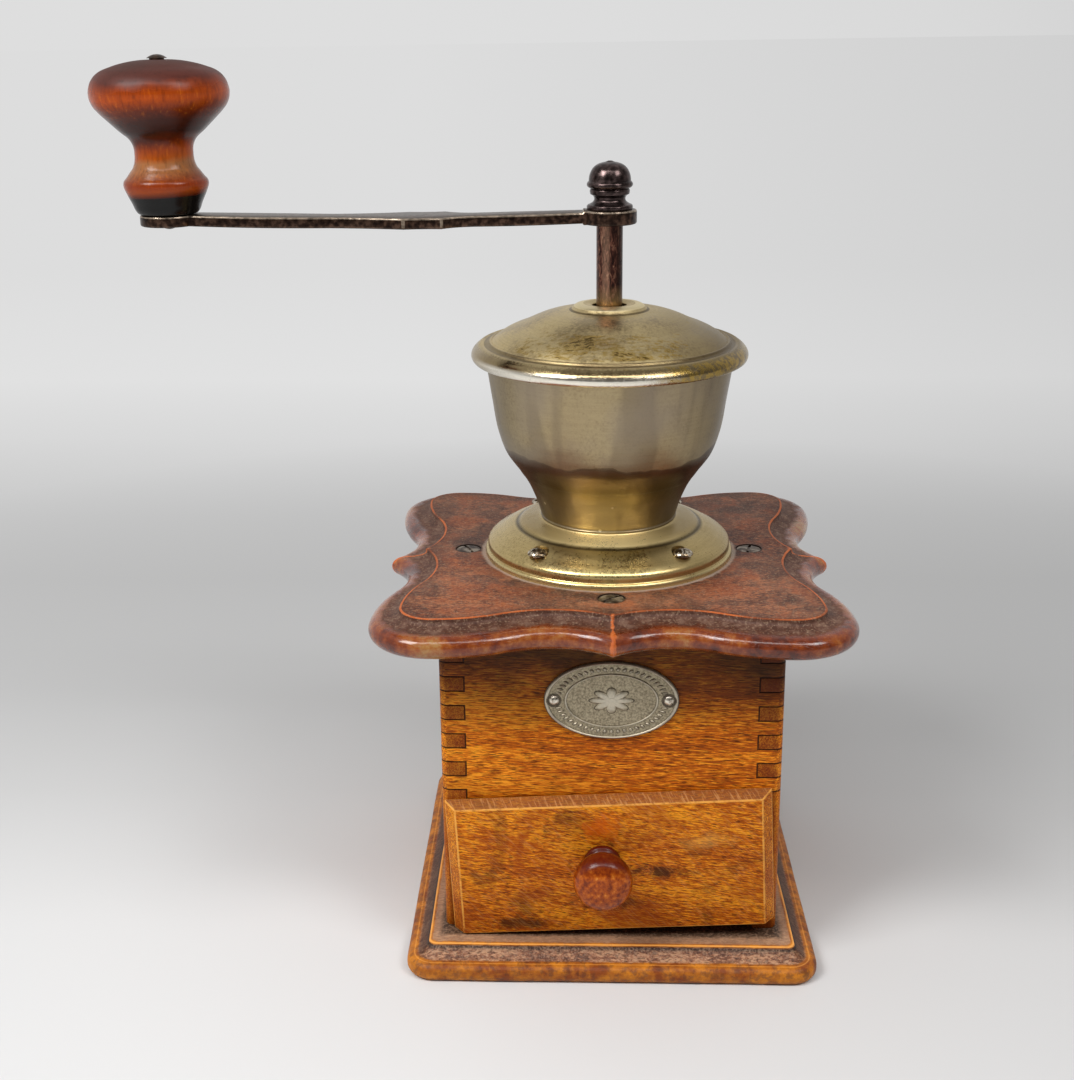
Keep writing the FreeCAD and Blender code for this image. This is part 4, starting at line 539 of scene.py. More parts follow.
def screw_tree(name, finish):
    """Geometry nodes: a slotted screw on every vertex of a mesh, its head upwards."""
    tree = bpy.data.node_groups.new(name, "GeometryNodeTree")
    tree.interface.new_socket("Holes", in_out="INPUT", socket_type="NodeSocketGeometry")
    for label in ("Head radius", "Head height", "Shank radius", "Length", "Slot width",
                  "Slot depth", "Turn", "Turn spread"):
        tree.interface.new_socket(label, in_out="INPUT", socket_type="NodeSocketFloat")
    tree.interface.new_socket("Screws", in_out="OUTPUT", socket_type="NodeSocketGeometry")
    into = tree.nodes.new("NodeGroupInput").outputs
    size = {socket.name: socket for socket in into}
    dome = add(tree, "GeometryNodeMeshUVSphere", {"Segments": 40, "Rings": 24, "Radius": 1.0})
    scale = add(tree, "ShaderNodeCombineXYZ", {
        "X": size["Head radius"], "Y": size["Head radius"], "Z": size["Head height"]})
    dome = add(tree, "GeometryNodeTransform", {"Geometry": dome, "Scale": scale})
    shank = add(tree, "GeometryNodeMeshCylinder", {
        "Vertices": 24, "Radius": size["Shank radius"], "Depth": size["Length"]})
    sunk = add(tree, "ShaderNodeMath", {0: size["Length"], 1: -0.5}, operation="MULTIPLY")
    low = add(tree, "ShaderNodeCombineXYZ", {"Z": sunk})
    shank = add(tree, "GeometryNodeTransform", {"Geometry": shank, "Translation": low})
    wide = add(tree, "ShaderNodeMath", {0: size["Head radius"], 1: 3.0}, operation="MULTIPLY")
    deep = add(tree, "ShaderNodeMath", {0: size["Slot depth"], 1: 2.0}, operation="MULTIPLY")
    bar = add(tree, "ShaderNodeCombineXYZ", {"X": wide, "Y": size["Slot width"], "Z": deep})
    slot = add(tree, "GeometryNodeMeshCube", {"Size": bar})
    top = add(tree, "ShaderNodeCombineXYZ", {"Z": size["Head height"]})
    slot = add(tree, "GeometryNodeTransform", {"Geometry": slot, "Translation": top})
    head = tree.nodes.new("GeometryNodeMeshBoolean")
    head.operation = "DIFFERENCE"
    under = add(tree, "GeometryNodeMeshCube", {"Size": add(tree, "ShaderNodeCombineXYZ", {
        "X": wide, "Y": wide, "Z": wide})})
    half = add(tree, "ShaderNodeMath", {0: wide, 1: -0.5}, operation="MULTIPLY")
    under = add(tree, "GeometryNodeTransform", {
        "Geometry": under, "Translation": add(tree, "ShaderNodeCombineXYZ", {"Z": half})})
    tree.links.new(dome, head.inputs[0])
    tree.links.new(slot, head.inputs[1])
    tree.links.new(under, head.inputs[1])
    screw = tree.nodes.new("GeometryNodeJoinGeometry")
    tree.links.new(shank, screw.inputs[0])
    tree.links.new(head.outputs[0], screw.inputs[0])
    number = add(tree, "GeometryNodeInputIndex")
    spread = add(tree, "ShaderNodeMath", {0: number, 1: size["Turn spread"], 2: size["Turn"]},
                 operation="MULTIPLY_ADD")
    turned = add(tree, "ShaderNodeCombineXYZ", {"Z": spread})
    placed = add(tree, "GeometryNodeInstanceOnPoints", {
        "Points": into["Holes"], "Instance": screw.outputs[0], "Rotation": turned})
    real = add(tree, "GeometryNodeRealizeInstances", {"Geometry": placed})
    done = add(tree, "GeometryNodeSetMaterial", {"Geometry": real, "Material": finish})
    leave = tree.nodes.new("NodeGroupOutput")
    tree.links.new(done, leave.inputs[0])
    return tree


def grow(name, seed, tree, **sizes):
    """Run a node tree on an object with these inputs, and keep what it makes as a plain mesh."""
    modifier = seed.modifiers.new(name, "NODES")
    modifier.node_group = tree
    for socket in tree.interface.items_tree:
        label = socket.name.lower().replace(" ", "_")
        if socket.in_out == "INPUT" and label in sizes:
            modifier[socket.identifier] = sizes[label]
    shown = seed.evaluated_get(bpy.context.evaluated_depsgraph_get())
    mesh = bpy.data.meshes.new_from_object(shown)
    bpy.data.objects.remove(seed)
    return place_piece(name, mesh)


def holes(points):
    """An object that is only points, one for each screw or nail."""
    mesh = bpy.data.meshes.new("holes")
    mesh.from_pydata([Vector(point) * MM for point in points], [], [])
    return place_piece("holes", mesh)


def sink(piece, points, radius, depth):
    """Cut a round sink into a piece at each point, down from the point."""
    cutter = bmesh.new()
    for point in points:
        spot = Matrix.Translation((Vector(point) + Vector((0, 0, 1 - depth / 2))) * MM)
        bmesh.ops.create_cone(cutter, cap_ends=True, segments=48, radius1=radius * MM,
                              radius2=radius * MM, depth=(depth + 2) * MM, matrix=spot)
    mesh = bpy.data.meshes.new("cutter")
    cutter.to_mesh(mesh)
    cutter.free()
    tool = place_piece("cutter", mesh)
    cut = piece.modifiers.new("sinks", "BOOLEAN")
    cut.object, cut.operation, cut.solver = tool, "DIFFERENCE", "EXACT"
    shown = piece.evaluated_get(bpy.context.evaluated_depsgraph_get())
    result = bpy.data.meshes.new_from_object(shown)
    piece.modifiers.clear()
    bpy.data.objects.remove(tool)
    piece.data = result
    result.shade_smooth()
    result.set_sharp_from_angle(angle=math.radians(35))


top_screw_circle, top_head, top_head_height, sink_gap, sink_depth = 46.7, 4.0, 0.35, 0.15, 1.3
top_spots = [(top_screw_circle * x, top_screw_circle * y, board_high.z)
             for x, y in ((1, 0), (0, 1), (-1, 0), (0, -1))]
sink(top, top_spots, top_head + sink_gap, sink_depth)
# The walls of the sinks are finished like the flat round them
zone_layer = top.data.attributes["zone"].data
for number, vertex in enumerate(top.data.vertices):
    if min((vertex.co / MM - Vector(spot)).length for spot in top_spots) < top_head + 2:
        zone_layer[number].value = 4.0
# Painted darker round each screw's sink: every place is folded onto the eighth of the board beside
# one screw
folded = add(tree, "ShaderNodeVectorMath", {0: place}, operation="ABSOLUTE")
parts = add(tree, "ShaderNodeSeparateXYZ", {"Vector": folded})
other = parts.node.outputs["Y"]
far = add(tree, "ShaderNodeMath", {0: parts, 1: other}, operation="MAXIMUM")
close = add(tree, "ShaderNodeMath", {0: parts, 1: other}, operation="MINIMUM")
to_screw = add(tree, "ShaderNodeVectorMath", {
    0: add(tree, "ShaderNodeCombineXYZ", {"X": far, "Y": close}),
    1: (top_screw_circle * MM, 0.0, 0.0)}, out="Value", operation="DISTANCE")
hollow_darkening = add(tree, "ShaderNodeMapRange", {
    "Value": to_screw, "From Min": (top_head + 0.9) * MM, "From Max": (top_head + 0.1) * MM})
colour = add(tree, "ShaderNodeMix", {
    "Factor": hollow_darkening, "A": colour, "B": hue("#1e0f09")}, data_type="RGBA")
coat(tree, colour, uneven, height, 0.05, Specular_IOR_Level=0.35, Coat_Weight=varnished,
     Coat_Roughness=0.05)
fit(top, varnish, "case", "top_wood", "top_board")

steel, tree = new_finish("Blued screw steel under old varnish")
place = add(tree, "ShaderNodeTexCoord", out="Object")
filed = add(tree, "ShaderNodeTexNoise", {"Vector": place, "Scale": 1600.0, "Detail": 5.0})
clouds = add(tree, "ShaderNodeTexNoise", {"Vector": place, "Scale": 300.0, "Detail": 3.0})
shade = add(tree, "ShaderNodeValToRGB", {"Fac": clouds}, stops=[
    (0.4, hue("#3d3028")), (0.5, hue("#6a5c50")), (0.6, hue("#9a8e80"))])
rub = add(tree, "ShaderNodeMapRange", {"Value": filed, "To Min": 0.3, "To Max": 0.6})
coat(tree, shade, rub, filed, 0.06, Metallic=0.8)
slotted = screw_tree("slotted screw", steel)
sunk_spots = holes([(x, y, z - top_head_height) for x, y, z in top_spots])
screws = grow("top_board_screws_slotted", sunk_spots, slotted, head_radius=top_head * MM,
              head_height=top_head_height * MM, shank_radius=2.0 * MM, length=12 * MM,
              slot_width=0.9 * MM, slot_depth=0.8 * MM, turn=1.35, turn_spread=1.9)
fit(screws, steel, "case", "screw_steel", "top_board_screws")
keep_shape(steel, "base_screws")

# Flange: a brass sheet spun into a low dome with a turned foot, a crease and a collar for the bowl.
# It is unlacquered and tarnished olive, with painted light and shade on its dome and inner ring,
# and a painted shadow in its crease.


def turned(name, finish, stations, steps=160, foot=(0, 0, 0), dent=0.0, dent_size=12.0):
    """A closed section of (radius, height, crisp) stations in mm, spun round an upright axis."""
    arbor = 10.0
    curve = bpy.data.curves.new(name, "CURVE")
    curve.dimensions = "3D"
    curve.resolution_u = 6
    line = curve.splines.new("BEZIER")
    line.bezier_points.add(len(stations) - 1)
    line.use_cyclic_u = True
    for point, (radius, height, *crisp) in zip(line.bezier_points, stations):
        point.co = Vector((radius - arbor, -height, 0)) * MM
        point.handle_left_type = point.handle_right_type = "VECTOR" if crisp else "AUTO"
    piece = grow(name, place_piece(name, curve), lathe, arbor=arbor * MM, steps=steps,
                 dent_depth=dent * MM, dent_scale=1 / (dent_size * MM), finish=finish)
    shape = bmesh.new()
    shape.from_mesh(piece.data)
    bmesh.ops.remove_doubles(shape, verts=shape.verts, dist=0.004 * MM)
    bmesh.ops.dissolve_degenerate(shape, dist=0.002 * MM, edges=shape.edges)
    bmesh.ops.recalc_face_normals(shape, faces=shape.faces)
    bmesh.ops.translate(shape, verts=shape.verts, vec=Vector(foot) * MM)
    shape.to_mesh(piece.data)
    shape.free()
    piece.data.shade_smooth()
    piece.data.set_sharp_from_angle(angle=math.radians(40))
    return piece


lathe = bpy.data.node_groups.new("lathe", "GeometryNodeTree")
for label, kind in (("Section", "Geometry"), ("Steps", "Int"), ("Arbor", "Float"),
                    ("Dent depth", "Float"), ("Dent scale", "Float"), ("Finish", "Material")):
    lathe.interface.new_socket(label, in_out="INPUT", socket_type="NodeSocket" + kind)
lathe.interface.new_socket("Turned piece", in_out="OUTPUT", socket_type="NodeSocketGeometry")
into = lathe.nodes.new("NodeGroupInput").outputs
ring = add(lathe, "GeometryNodeCurvePrimitiveCircle", {
    "Resolution": into["Steps"], "Radius": into["Arbor"]})
ring = add(lathe, "GeometryNodeSetCurveNormal", {"Curve": ring}, mode="Z_UP")
spun = add(lathe, "GeometryNodeCurveToMesh", {"Curve": ring, "Profile Curve": into["Section"]})
swell = add(lathe, "ShaderNodeTexNoise", {"Scale": into["Dent scale"], "Detail": 2.0})
push = add(lathe, "ShaderNodeMath", {0: swell, 1: 0.5}, operation="SUBTRACT")
push = add(lathe, "ShaderNodeMath", {0: push, 1: into["Dent depth"]}, operation="MULTIPLY")
away = add(lathe, "ShaderNodeVectorMath", {
    0: add(lathe, "GeometryNodeInputNormal"), "Scale": push}, operation="SCALE")
dented = add(lathe, "GeometryNodeSetPosition", {"Geometry": spun, "Offset": away})
real = add(lathe, "GeometryNodeRealizeInstances", {"Geometry": dented})
done = add(lathe, "GeometryNodeSetMaterial", {"Geometry": real, "Material": into["Finish"]})
leave = lathe.nodes.new("NodeGroupOutput")
lathe.links.new(done, leave.inputs[0])


def spun_brass(name, slope, bright, dull, dark, polish=0.36, streaks=0.45):
    """Tarnished sheet brass, with the fine rings that spinning leaves down or up its side."""
    finish, tree = new_finish(name)
    place = add(tree, "ShaderNodeTexCoord", out="Object")
    up = add(tree, "ShaderNodeSeparateXYZ", {"Vector": place}, out="Z")
    along = add(tree, "ShaderNodeMath", {0: up, 1: slope, 2: from_axis(tree, place)},
                operation="MULTIPLY_ADD")
    slow = add(tree, "ShaderNodeVectorMath", {0: place, 1: (0.05, 0.05, 0.0)}, operation="MULTIPLY")
    upward = add(tree, "ShaderNodeCombineXYZ", {"Z": along})
    rings = add(tree, "ShaderNodeVectorMath", {0: slow, 1: upward}, operation="ADD")
    # The spinner's rings are 0.1 mm apart; at that they would not show, so they are 0.7 mm
    brush = add(tree, "ShaderNodeTexNoise", {
        "Vector": rings, "Scale": 1400.0, "Detail": 3.0, "Roughness": 0.6})
    clouds = add(tree, "ShaderNodeTexNoise", {
        "Vector": place, "Scale": 42.0, "Detail": 6.0, "Roughness": 0.6})
    mottle = add(tree, "ShaderNodeTexNoise", {
        "Vector": place, "Scale": 1100.0, "Detail": 4.0, "Roughness": 0.7})
    mixed = add(tree, "ShaderNodeMix", {"Factor": 0.45, "A": clouds, "B": mottle})
    colour = add(tree, "ShaderNodeValToRGB", {"Fac": mixed}, stops=[
        (0.4, dark), (0.46, dull), (0.54, bright), (0.62, dull)])
    streak = add(tree, "ShaderNodeMapRange", {
        "Value": brush, "From Min": 0.4, "From Max": 0.7, "To Max": streaks})
    colour = add(tree, "ShaderNodeMix", {
        "Factor": streak, "A": colour, "B": dark}, data_type="RGBA")
    rub = add(tree, "ShaderNodeMapRange", {
        "Value": mixed, "From Min": 0.4, "From Max": 0.6, "To Min": polish - 0.08,
        "To Max": polish + 0.1})
    height = add(tree, "ShaderNodeMath", {0: brush, 1: 0.5, 2: mottle}, operation="MULTIPLY_ADD")
    return finish, tree, place, colour, rub, height


crease_radius = 30.1
flange_brass, tree, place, colour, rub, height = spun_brass(
    "Spun brass flange, tarnished", -1.0, hue("#d6be86"), hue("#c6ae78"), hue("#b09a66"),
    polish=0.3)
radius = from_axis(tree, place)
crease = add(tree, "ShaderNodeMath", {0: radius, 1: crease_radius * MM}, operation="SUBTRACT")
crease = add(tree, "ShaderNodeMath", {0: crease}, operation="ABSOLUTE")
crease = add(tree, "ShaderNodeMapRange", {
    "Value": crease, "From Min": 1.1 * MM, "From Max": 0.2 * MM})
parts = add(tree, "ShaderNodeSeparateXYZ", {"Vector": place})
edge = add(tree, "ShaderNodeMapRange", {
    "Value": parts.node.outputs["Z"], "From Min": (board_high.z + 2.6) * MM,
    "From Max": (board_high.z + 1.6) * MM})
inner = add(tree, "ShaderNodeMapRange", {
    "Value": radius, "From Min": (crease_radius - 0.3) * MM,
    "From Max": (crease_radius - 1.1) * MM})
# The inner ring is painted bright in front and darker at its sides, as painted light and shade
aside = add(tree, "ShaderNodeMath", {0: parts}, operation="ABSOLUTE")
ring_side_shade = add(tree, "ShaderNodeMapRange", {
    "Value": aside, "From Min": 4 * MM, "From Max": 24 * MM, "To Max": 0.85})
ring_light_and_shade = add(tree, "ShaderNodeMix", {
    "Factor": ring_side_shade, "A": hue("#f6dea0"), "B": hue("#8e7646")}, data_type="RGBA")
# The dome's sides are painted darker, as painted shade
away = add(tree, "ShaderNodeMapRange", {
    "Value": parts, "From Min": 12 * MM, "From Max": 38 * MM, "To Max": 0.3})
outer = add(tree, "ShaderNodeMath", {0: 1.0, 1: inner}, operation="SUBTRACT")
# A painted highlight on the dome's front, outside the crease
middle = add(tree, "ShaderNodeMapRange", {
    "Value": aside, "From Min": 16 * MM, "From Max": 3 * MM, "To Max": 0.7})
front = add(tree, "ShaderNodeMapRange", {
    "Value": parts.node.outputs["Y"], "From Min": -24 * MM, "From Max": -31 * MM})
painted_front_highlight = add(tree, "ShaderNodeMath", {0: middle, 1: front}, operation="MULTIPLY")
painted_front_highlight = add(tree, "ShaderNodeMath", {0: painted_front_highlight, 1: outer}, operation="MULTIPLY")
away = add(tree, "ShaderNodeMath", {0: away, 1: outer}, operation="MULTIPLY")
# A painted shadow along the crease
black = add(tree, "ShaderNodeMath", {0: crease, 1: 0.8}, operation="MULTIPLY")
rubbed = add(tree, "ShaderNodeMath", {0: edge, 1: 0.6}, operation="MULTIPLY")
for mask, tint in (
        (inner, ring_light_and_shade), (painted_front_highlight, hue("#f2dc98")), (away, hue("#6e562e")),
        (black, hue("#33260f")), (rubbed, hue("#e0cc96"))):
    colour = add(tree, "ShaderNodeMix", {"Factor": mask, "A": colour, "B": tint}, data_type="RGBA")
metal = add(tree, "ShaderNodeMath", {0: inner, 1: -0.35, 2: 1.0}, operation="MULTIPLY_ADD")
coat(tree, colour, rub, height, 0.02, Metallic=metal)
flange = turned("hopper_flange_spun", flange_brass, [
    (39.9, 0.0, 1), (40.8, 0.0, 1), (40.8, 1.2), (40.35, 1.85), (39.95, 2.0), (39.85, 2.5),
    (39.95, 3.1), (39.8, 4.3), (39.0, 5.3), (36.2, 7.1), (33.2, 8.75), (31.2, 9.5),
    (30.15, 9.75, 1), (29.7, 10.05), (28.6, 10.75), (25.5, 11.5), (22.6, 12.1), (22.3, 12.35),
    (21.3, 12.4), (20.45, 12.1, 1), (20.4, 11.5, 1), (23.3, 10.7), (29.1, 9.0), (32.3, 7.8),
    (35.3, 6.2), (38.1, 4.4), (39.4, 3.1), (39.8, 1.4)],
    foot=(0, 0, board_high.z), dent=0.25, steps=192)
frame_circle, frame_turn, frame_head, frame_head_height = 35.5, 50.0, 3.3, 1.7
frame_low, frame_high = (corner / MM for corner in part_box("frame_screws"))
frame_seat = frame_high.z - frame_head_height
frame_spots = [(sx * frame_circle * math.cos(math.radians(frame_turn)),
                sy * frame_circle * math.sin(math.radians(frame_turn)), frame_seat)
               for sx, sy in ((-1, -1), (1, -1), (1, 1), (-1, 1))]
sink(flange, frame_spots, frame_head + 0.25, 0.0)
fit(flange, flange_brass, "case", "flange_brass", "hopper_flange")
rounds = grow("frame_screws_round_headed", holes(frame_spots), slotted,
              head_radius=frame_head * MM, head_height=frame_head_height * MM,
              shank_radius=1.7 * MM, length=(frame_seat - frame_low.z) * MM,
              slot_width=0.9 * MM, slot_depth=0.7 * MM, turn=0.5, turn_spread=1.1)
bright_steel, tree = new_finish("Plated screw steel, rubbed bright")
place = add(tree, "ShaderNodeTexCoord", out="Object")
scuffs = add(tree, "ShaderNodeTexNoise", {"Vector": place, "Scale": 900.0, "Detail": 4.0})
shade = add(tree, "ShaderNodeValToRGB", {"Fac": scuffs}, stops=[
    (0.42, hue("#6e5c48")), (0.5, hue("#a89880")), (0.6, hue("#dcd2c0"))])
rub = add(tree, "ShaderNodeMapRange", {"Value": scuffs, "To Min": 0.15, "To Max": 0.35})
coat(tree, shade, rub, scuffs, 0.05, Metallic=1.0)
fit(rounds, bright_steel, "case", "screw_steel", "frame_screws")

# Hopper bowl: brass sheet spun over a form, with a rolled foot that drops into the flange.
# Hands have kept its shoulder grey and dull; below a wavy tide line it is brown, then golden.
tide_line = 163.2
bowl_brass, tree, place, colour, rub, height = spun_brass(
    "Spun brass bowl, tarnished", 1.0, hue("#b6a480"), hue("#aa9876"), hue("#988666"), streaks=0.3)
up = add(tree, "ShaderNodeSeparateXYZ", {"Vector": place}, out="Z")
swell = add(tree, "ShaderNodeTexNoise", {"Vector": place, "Scale": 45.0, "Detail": 3.0})
tide = add(tree, "ShaderNodeMath", {0: swell, 1: 12 * MM, 2: up}, operation="MULTIPLY_ADD")
lower = add(tree, "ShaderNodeMapRange", {
    "Value": tide, "From Min": (tide_line + 0.3) * MM, "From Max": (tide_line - 0.7) * MM})
below = add(tree, "ShaderNodeMapRange", {"Value": up, "From Min": 132 * MM, "From Max": 158 * MM})
cone = add(tree, "ShaderNodeValToRGB", {"Fac": below}, stops=[
    (0.0, hue("#a89468")), (0.4, hue("#b4a074")), (0.52, hue("#9a865c")), (0.6, hue("#806e48")),
    (0.8, hue("#846e50")), (1.0, hue("#745c44"))])
# The cone is painted darker at its sides, as painted shade
aside = add(tree, "ShaderNodeMath", {
    0: add(tree, "ShaderNodeSeparateXYZ", {"Vector": place})}, operation="ABSOLUTE")
sides = add(tree, "ShaderNodeMapRange", {
    "Value": aside, "From Min": 12 * MM, "From Max": 24 * MM, "To Max": 0.65})
# Upright bands of painted reflection, darker streaks up the bowl and its cone
upright = add(tree, "ShaderNodeMapping", {"Vector": place, "Scale": (1.0, 1.0, 0.08)})
reflection_bands = add(tree, "ShaderNodeTexNoise", {"Vector": upright, "Scale": 70.0, "Detail": 3.0})
dim = add(tree, "ShaderNodeMapRange", {
    "Value": reflection_bands, "From Min": 0.5, "From Max": 0.58, "To Max": 0.5})
colour = add(tree, "ShaderNodeMix", {
    "Factor": dim, "A": colour, "B": hue("#80715a")}, data_type="RGBA")
for mask, tint in ((sides, "#3c2c1c"), (dim, "#5a4830")):
    cone = add(tree, "ShaderNodeMix", {"Factor": mask, "A": cone, "B": hue(tint)}, data_type="RGBA")
golden = add(tree, "ShaderNodeMix", {"Factor": lower, "A": colour, "B": cone}, data_type="RGBA")
line = add(tree, "ShaderNodeMath", {0: tide, 1: tide_line * MM, 2: 0.5 * MM}, operation="COMPARE")
line = add(tree, "ShaderNodeMath", {0: line, 1: 0.5}, operation="MULTIPLY")
grey = add(tree, "ShaderNodeTexNoise", {"Vector": place, "Scale": 28.0, "Detail": 3.0})
grey = add(tree, "ShaderNodeMapRange", {
    "Value": grey, "From Min": 0.45, "From Max": 0.62, "To Max": 0.5})
nicks = add(tree, "ShaderNodeTexVoronoi", {"Vector": place, "Scale": 110.0})
nick = add(tree, "ShaderNodeMapRange", {
    "Value": nicks, "From Min": 0.07, "From Max": 0.04, "To Max": 0.7})
for mask, tint in ((line, "#3e2e20"), (grey, "#9a8e82"), (nick, "#e8dcb8")):
    golden = add(tree, "ShaderNodeMix", {
        "Factor": mask, "A": golden, "B": hue(tint)}, data_type="RGBA")
# Where the bowl turns right, and hard left, it is painted darker, as painted shade
facing = add(tree, "ShaderNodeNewGeometry", out="Normal")
facing = add(tree, "ShaderNodeSeparateXYZ", {"Vector": facing})
for start, end, strength in ((0.45, 0.95, 0.5), (-0.8, -1.0, 0.55)):
    bowl_side_shade = add(tree, "ShaderNodeMapRange", {
        "Value": facing, "From Min": start, "From Max": end, "To Max": strength})
    golden = add(tree, "ShaderNodeMix", {
        "Factor": bowl_side_shade, "A": golden, "B": hue("#5a4834")}, data_type="RGBA")
coat(tree, golden, rub, height, 0.03, Metallic=1.0)
bowl = turned("hopper_bowl_spun", bowl_brass, [
    (19.3, 124.0, 1), (20.2, 124.0, 1), (20.2, 132.6, 1), (22.2, 132.6, 1), (22.35, 133.0),
    (22.15, 133.5), (22.4, 134.3), (23.5, 137.8), (24.8, 141.1), (26.3, 144.3), (28.1, 147.2),
    (28.35, 147.5), (29.9, 149.8), (31.7, 152.2), (33.4, 154.7), (34.7, 157.7), (35.7, 160.9),
    (36.5, 164.1), (37.8, 172.5), (39.1, 180.9), (40.3, 189.3, 1), (39.4, 189.3, 1), (38.2, 180.9),
    (36.9, 172.5), (35.4, 164.1), (34.4, 159.3), (32.5, 154.7), (29.0, 149.8), (27.3, 147.3),
    (24.4, 141.6), (21.1, 136.2), (19.3, 133.5, 1)],
    dent=0.35, dent_size=25.0, steps=192)
fit(bowl, bowl_brass, "case", "hopper_brass", "hopper_bowl")

# Hopper lid: a spun brass dome with a collar round the shaft's hole and a rolled rim.
# It lifts up the shaft to fill the hopper; its front is pitted, its rim rubbed, with a silver
# highlight painted on its lip.
lid_brass, tree, place, colour, rub, height = spun_brass(
    "Spun brass lid, tarnished and pitted", -1.0, hue("#dac694"), hue("#c8b284"), hue("#a8946c"),
    polish=0.4, streaks=0.3)
radius = from_axis(tree, place)
parts = add(tree, "ShaderNodeSeparateXYZ", {"Vector": place})
front = add(tree, "ShaderNodeMapRange", {
    "Value": parts.node.outputs["Y"], "From Min": -12 * MM, "From Max": -26 * MM})
right = add(tree, "ShaderNodeMapRange", {"Value": parts, "From Min": 10 * MM, "From Max": 22 * MM})
rim = add(tree, "ShaderNodeMapRange", {
    "Value": radius, "From Min": 41.2 * MM, "From Max": 42.5 * MM})
flakes = add(tree, "ShaderNodeTexNoise", {
    "Vector": place, "Scale": 500.0, "Detail": 5.0, "Roughness": 0.7})
loose = add(tree, "ShaderNodeMapRange", {"Value": flakes, "From Min": 0.46, "From Max": 0.54})
worn = add(tree, "ShaderNodeMath", {0: rim, 1: loose}, operation="MULTIPLY")
worn = add(tree, "ShaderNodeMath", {0: worn, 1: right}, operation="MULTIPLY")
worn = add(tree, "ShaderNodeMath", {0: worn, 1: 0.8}, operation="MULTIPLY")
lip = add(tree, "ShaderNodeMapRange", {
    "Value": parts.node.outputs["Z"], "From Min": 188.4 * MM, "From Max": 187.4 * MM})
brow = add(tree, "ShaderNodeMath", {0: rim, 1: 0.6}, operation="MULTIPLY")
# The lid's sides are painted darker, as painted shade
away = add(tree, "ShaderNodeMapRange", {
    "Value": parts, "From Min": 4 * MM, "From Max": 34 * MM, "To Max": 0.75})
# A painted silver highlight on the rim's lip at the left front
rim_highlight = add(tree, "ShaderNodeMath", {0: lip, 1: front}, operation="MULTIPLY")
left = add(tree, "ShaderNodeMath", {0: 1.0, 1: right}, operation="SUBTRACT")
rim_highlight = add(tree, "ShaderNodeMath", {0: rim_highlight, 1: left}, operation="MULTIPLY")
ledge = add(tree, "ShaderNodeMath", {0: radius, 1: 39.3 * MM, 2: 0.9 * MM}, operation="COMPARE")
ledge = add(tree, "ShaderNodeMath", {0: ledge, 1: 0.55}, operation="MULTIPLY")
level = add(tree, "ShaderNodeMapping", {"Vector": place, "Scale": (0.35, 1.0, 1.0)})
spots = add(tree, "ShaderNodeTexNoise", {
    "Vector": level, "Scale": 1000.0, "Detail": 4.0, "Roughness": 0.7})
patch = add(tree, "ShaderNodeTexNoise", {"Vector": place, "Scale": 90.0, "Detail": 2.0})
belt = add(tree, "ShaderNodeMath", {0: radius, 1: 31.5 * MM, 2: 5.5 * MM}, operation="COMPARE")
scar = add(tree, "ShaderNodeMath", {0: belt, 1: front}, operation="MULTIPLY")
flaked = add(tree, "ShaderNodeMath", {0: patch, 1: 0.8, 2: spots}, operation="MULTIPLY_ADD")
flaked = add(tree, "ShaderNodeMath", {0: scar, 1: 0.22, 2: flaked}, operation="MULTIPLY_ADD")
gilt = add(tree, "ShaderNodeMapRange", {
    "Value": flaked, "From Min": 1.13, "From Max": 1.18, "To Max": 0.6})
pit = add(tree, "ShaderNodeMapRange", {
    "Value": flaked, "From Min": 1.27, "From Max": 1.32, "To Max": 0.8})
for mask, tint in (
        (brow, "#7e6a4c"), (away, "#6c5a3c"), (rim_highlight, "#f6efe0"), (worn, "#b0924a"),
        (ledge, "#4e3c26"), (gilt, "#a8862e"), (pit, "#4a3816")):
    colour = add(tree, "ShaderNodeMix", {
        "Factor": mask, "A": colour, "B": hue(tint)}, data_type="RGBA")
# Round the collar: a darker ring at its foot, and a painted highlight on its rounded top
for middle, half, code in ((12.4, 0.4, "#4a3a22"), (9.8, 1.5, "#f4e4b8")):
    ring = add(tree, "ShaderNodeMath", {
        0: radius, 1: middle * MM, 2: half * MM}, operation="COMPARE")
    ring = add(tree, "ShaderNodeMath", {0: ring, 1: 0.7}, operation="MULTIPLY")
    colour = add(tree, "ShaderNodeMix", {
        "Factor": ring, "A": colour, "B": hue(code)}, data_type="RGBA")
height = add(tree, "ShaderNodeMath", {0: pit, 1: -3.0, 2: height}, operation="MULTIPLY_ADD")
smooth = add(tree, "ShaderNodeMath", {0: rim, 1: -0.2, 2: rub}, operation="MULTIPLY_ADD")
coat(tree, colour, smooth, height, 0.04, Metallic=1.0)
lid = turned("hopper_lid_spun", lid_brass, [
    (5.5, 202.0), (6.1, 202.5), (9.8, 202.65), (10.9, 202.3), (11.7, 201.5), (12.4, 200.85, 1),
    (14.3, 200.6), (17.9, 200.1), (21.4, 199.2), (24.7, 197.9), (27.3, 196.7), (28.7, 196.1),
    (32.2, 194.7), (34.9, 193.2), (36.9, 191.7), (37.6, 191.1, 1), (38.1, 191.3), (38.6, 191.1),
    (38.9, 190.6), (39.4, 190.35), (40.4, 190.3), (41.2, 190.45), (42.3, 189.85), (43.3, 189.0),
    (44.0, 188.0), (44.3, 186.9), (44.1, 185.9), (43.6, 185.2), (43.0, 185.0), (42.5, 185.3),
    (42.7, 186.2), (42.7, 187.2), (42.1, 188.3), (41.2, 189.0), (40.2, 189.4), (38.4, 189.6),
    (37.3, 190.4), (34.9, 192.2), (32.2, 193.7), (28.0, 195.3), (24.7, 196.8), (21.4, 198.1),
    (17.9, 199.0), (14.3, 199.5), (12.5, 199.7), (11.0, 200.4), (10.0, 201.4), (6.3, 201.4)],
    dent=0.2, dent_size=14.0, steps=192)
fit(lid, lid_brass, "lid", "hopper_brass", "hopper_lid")

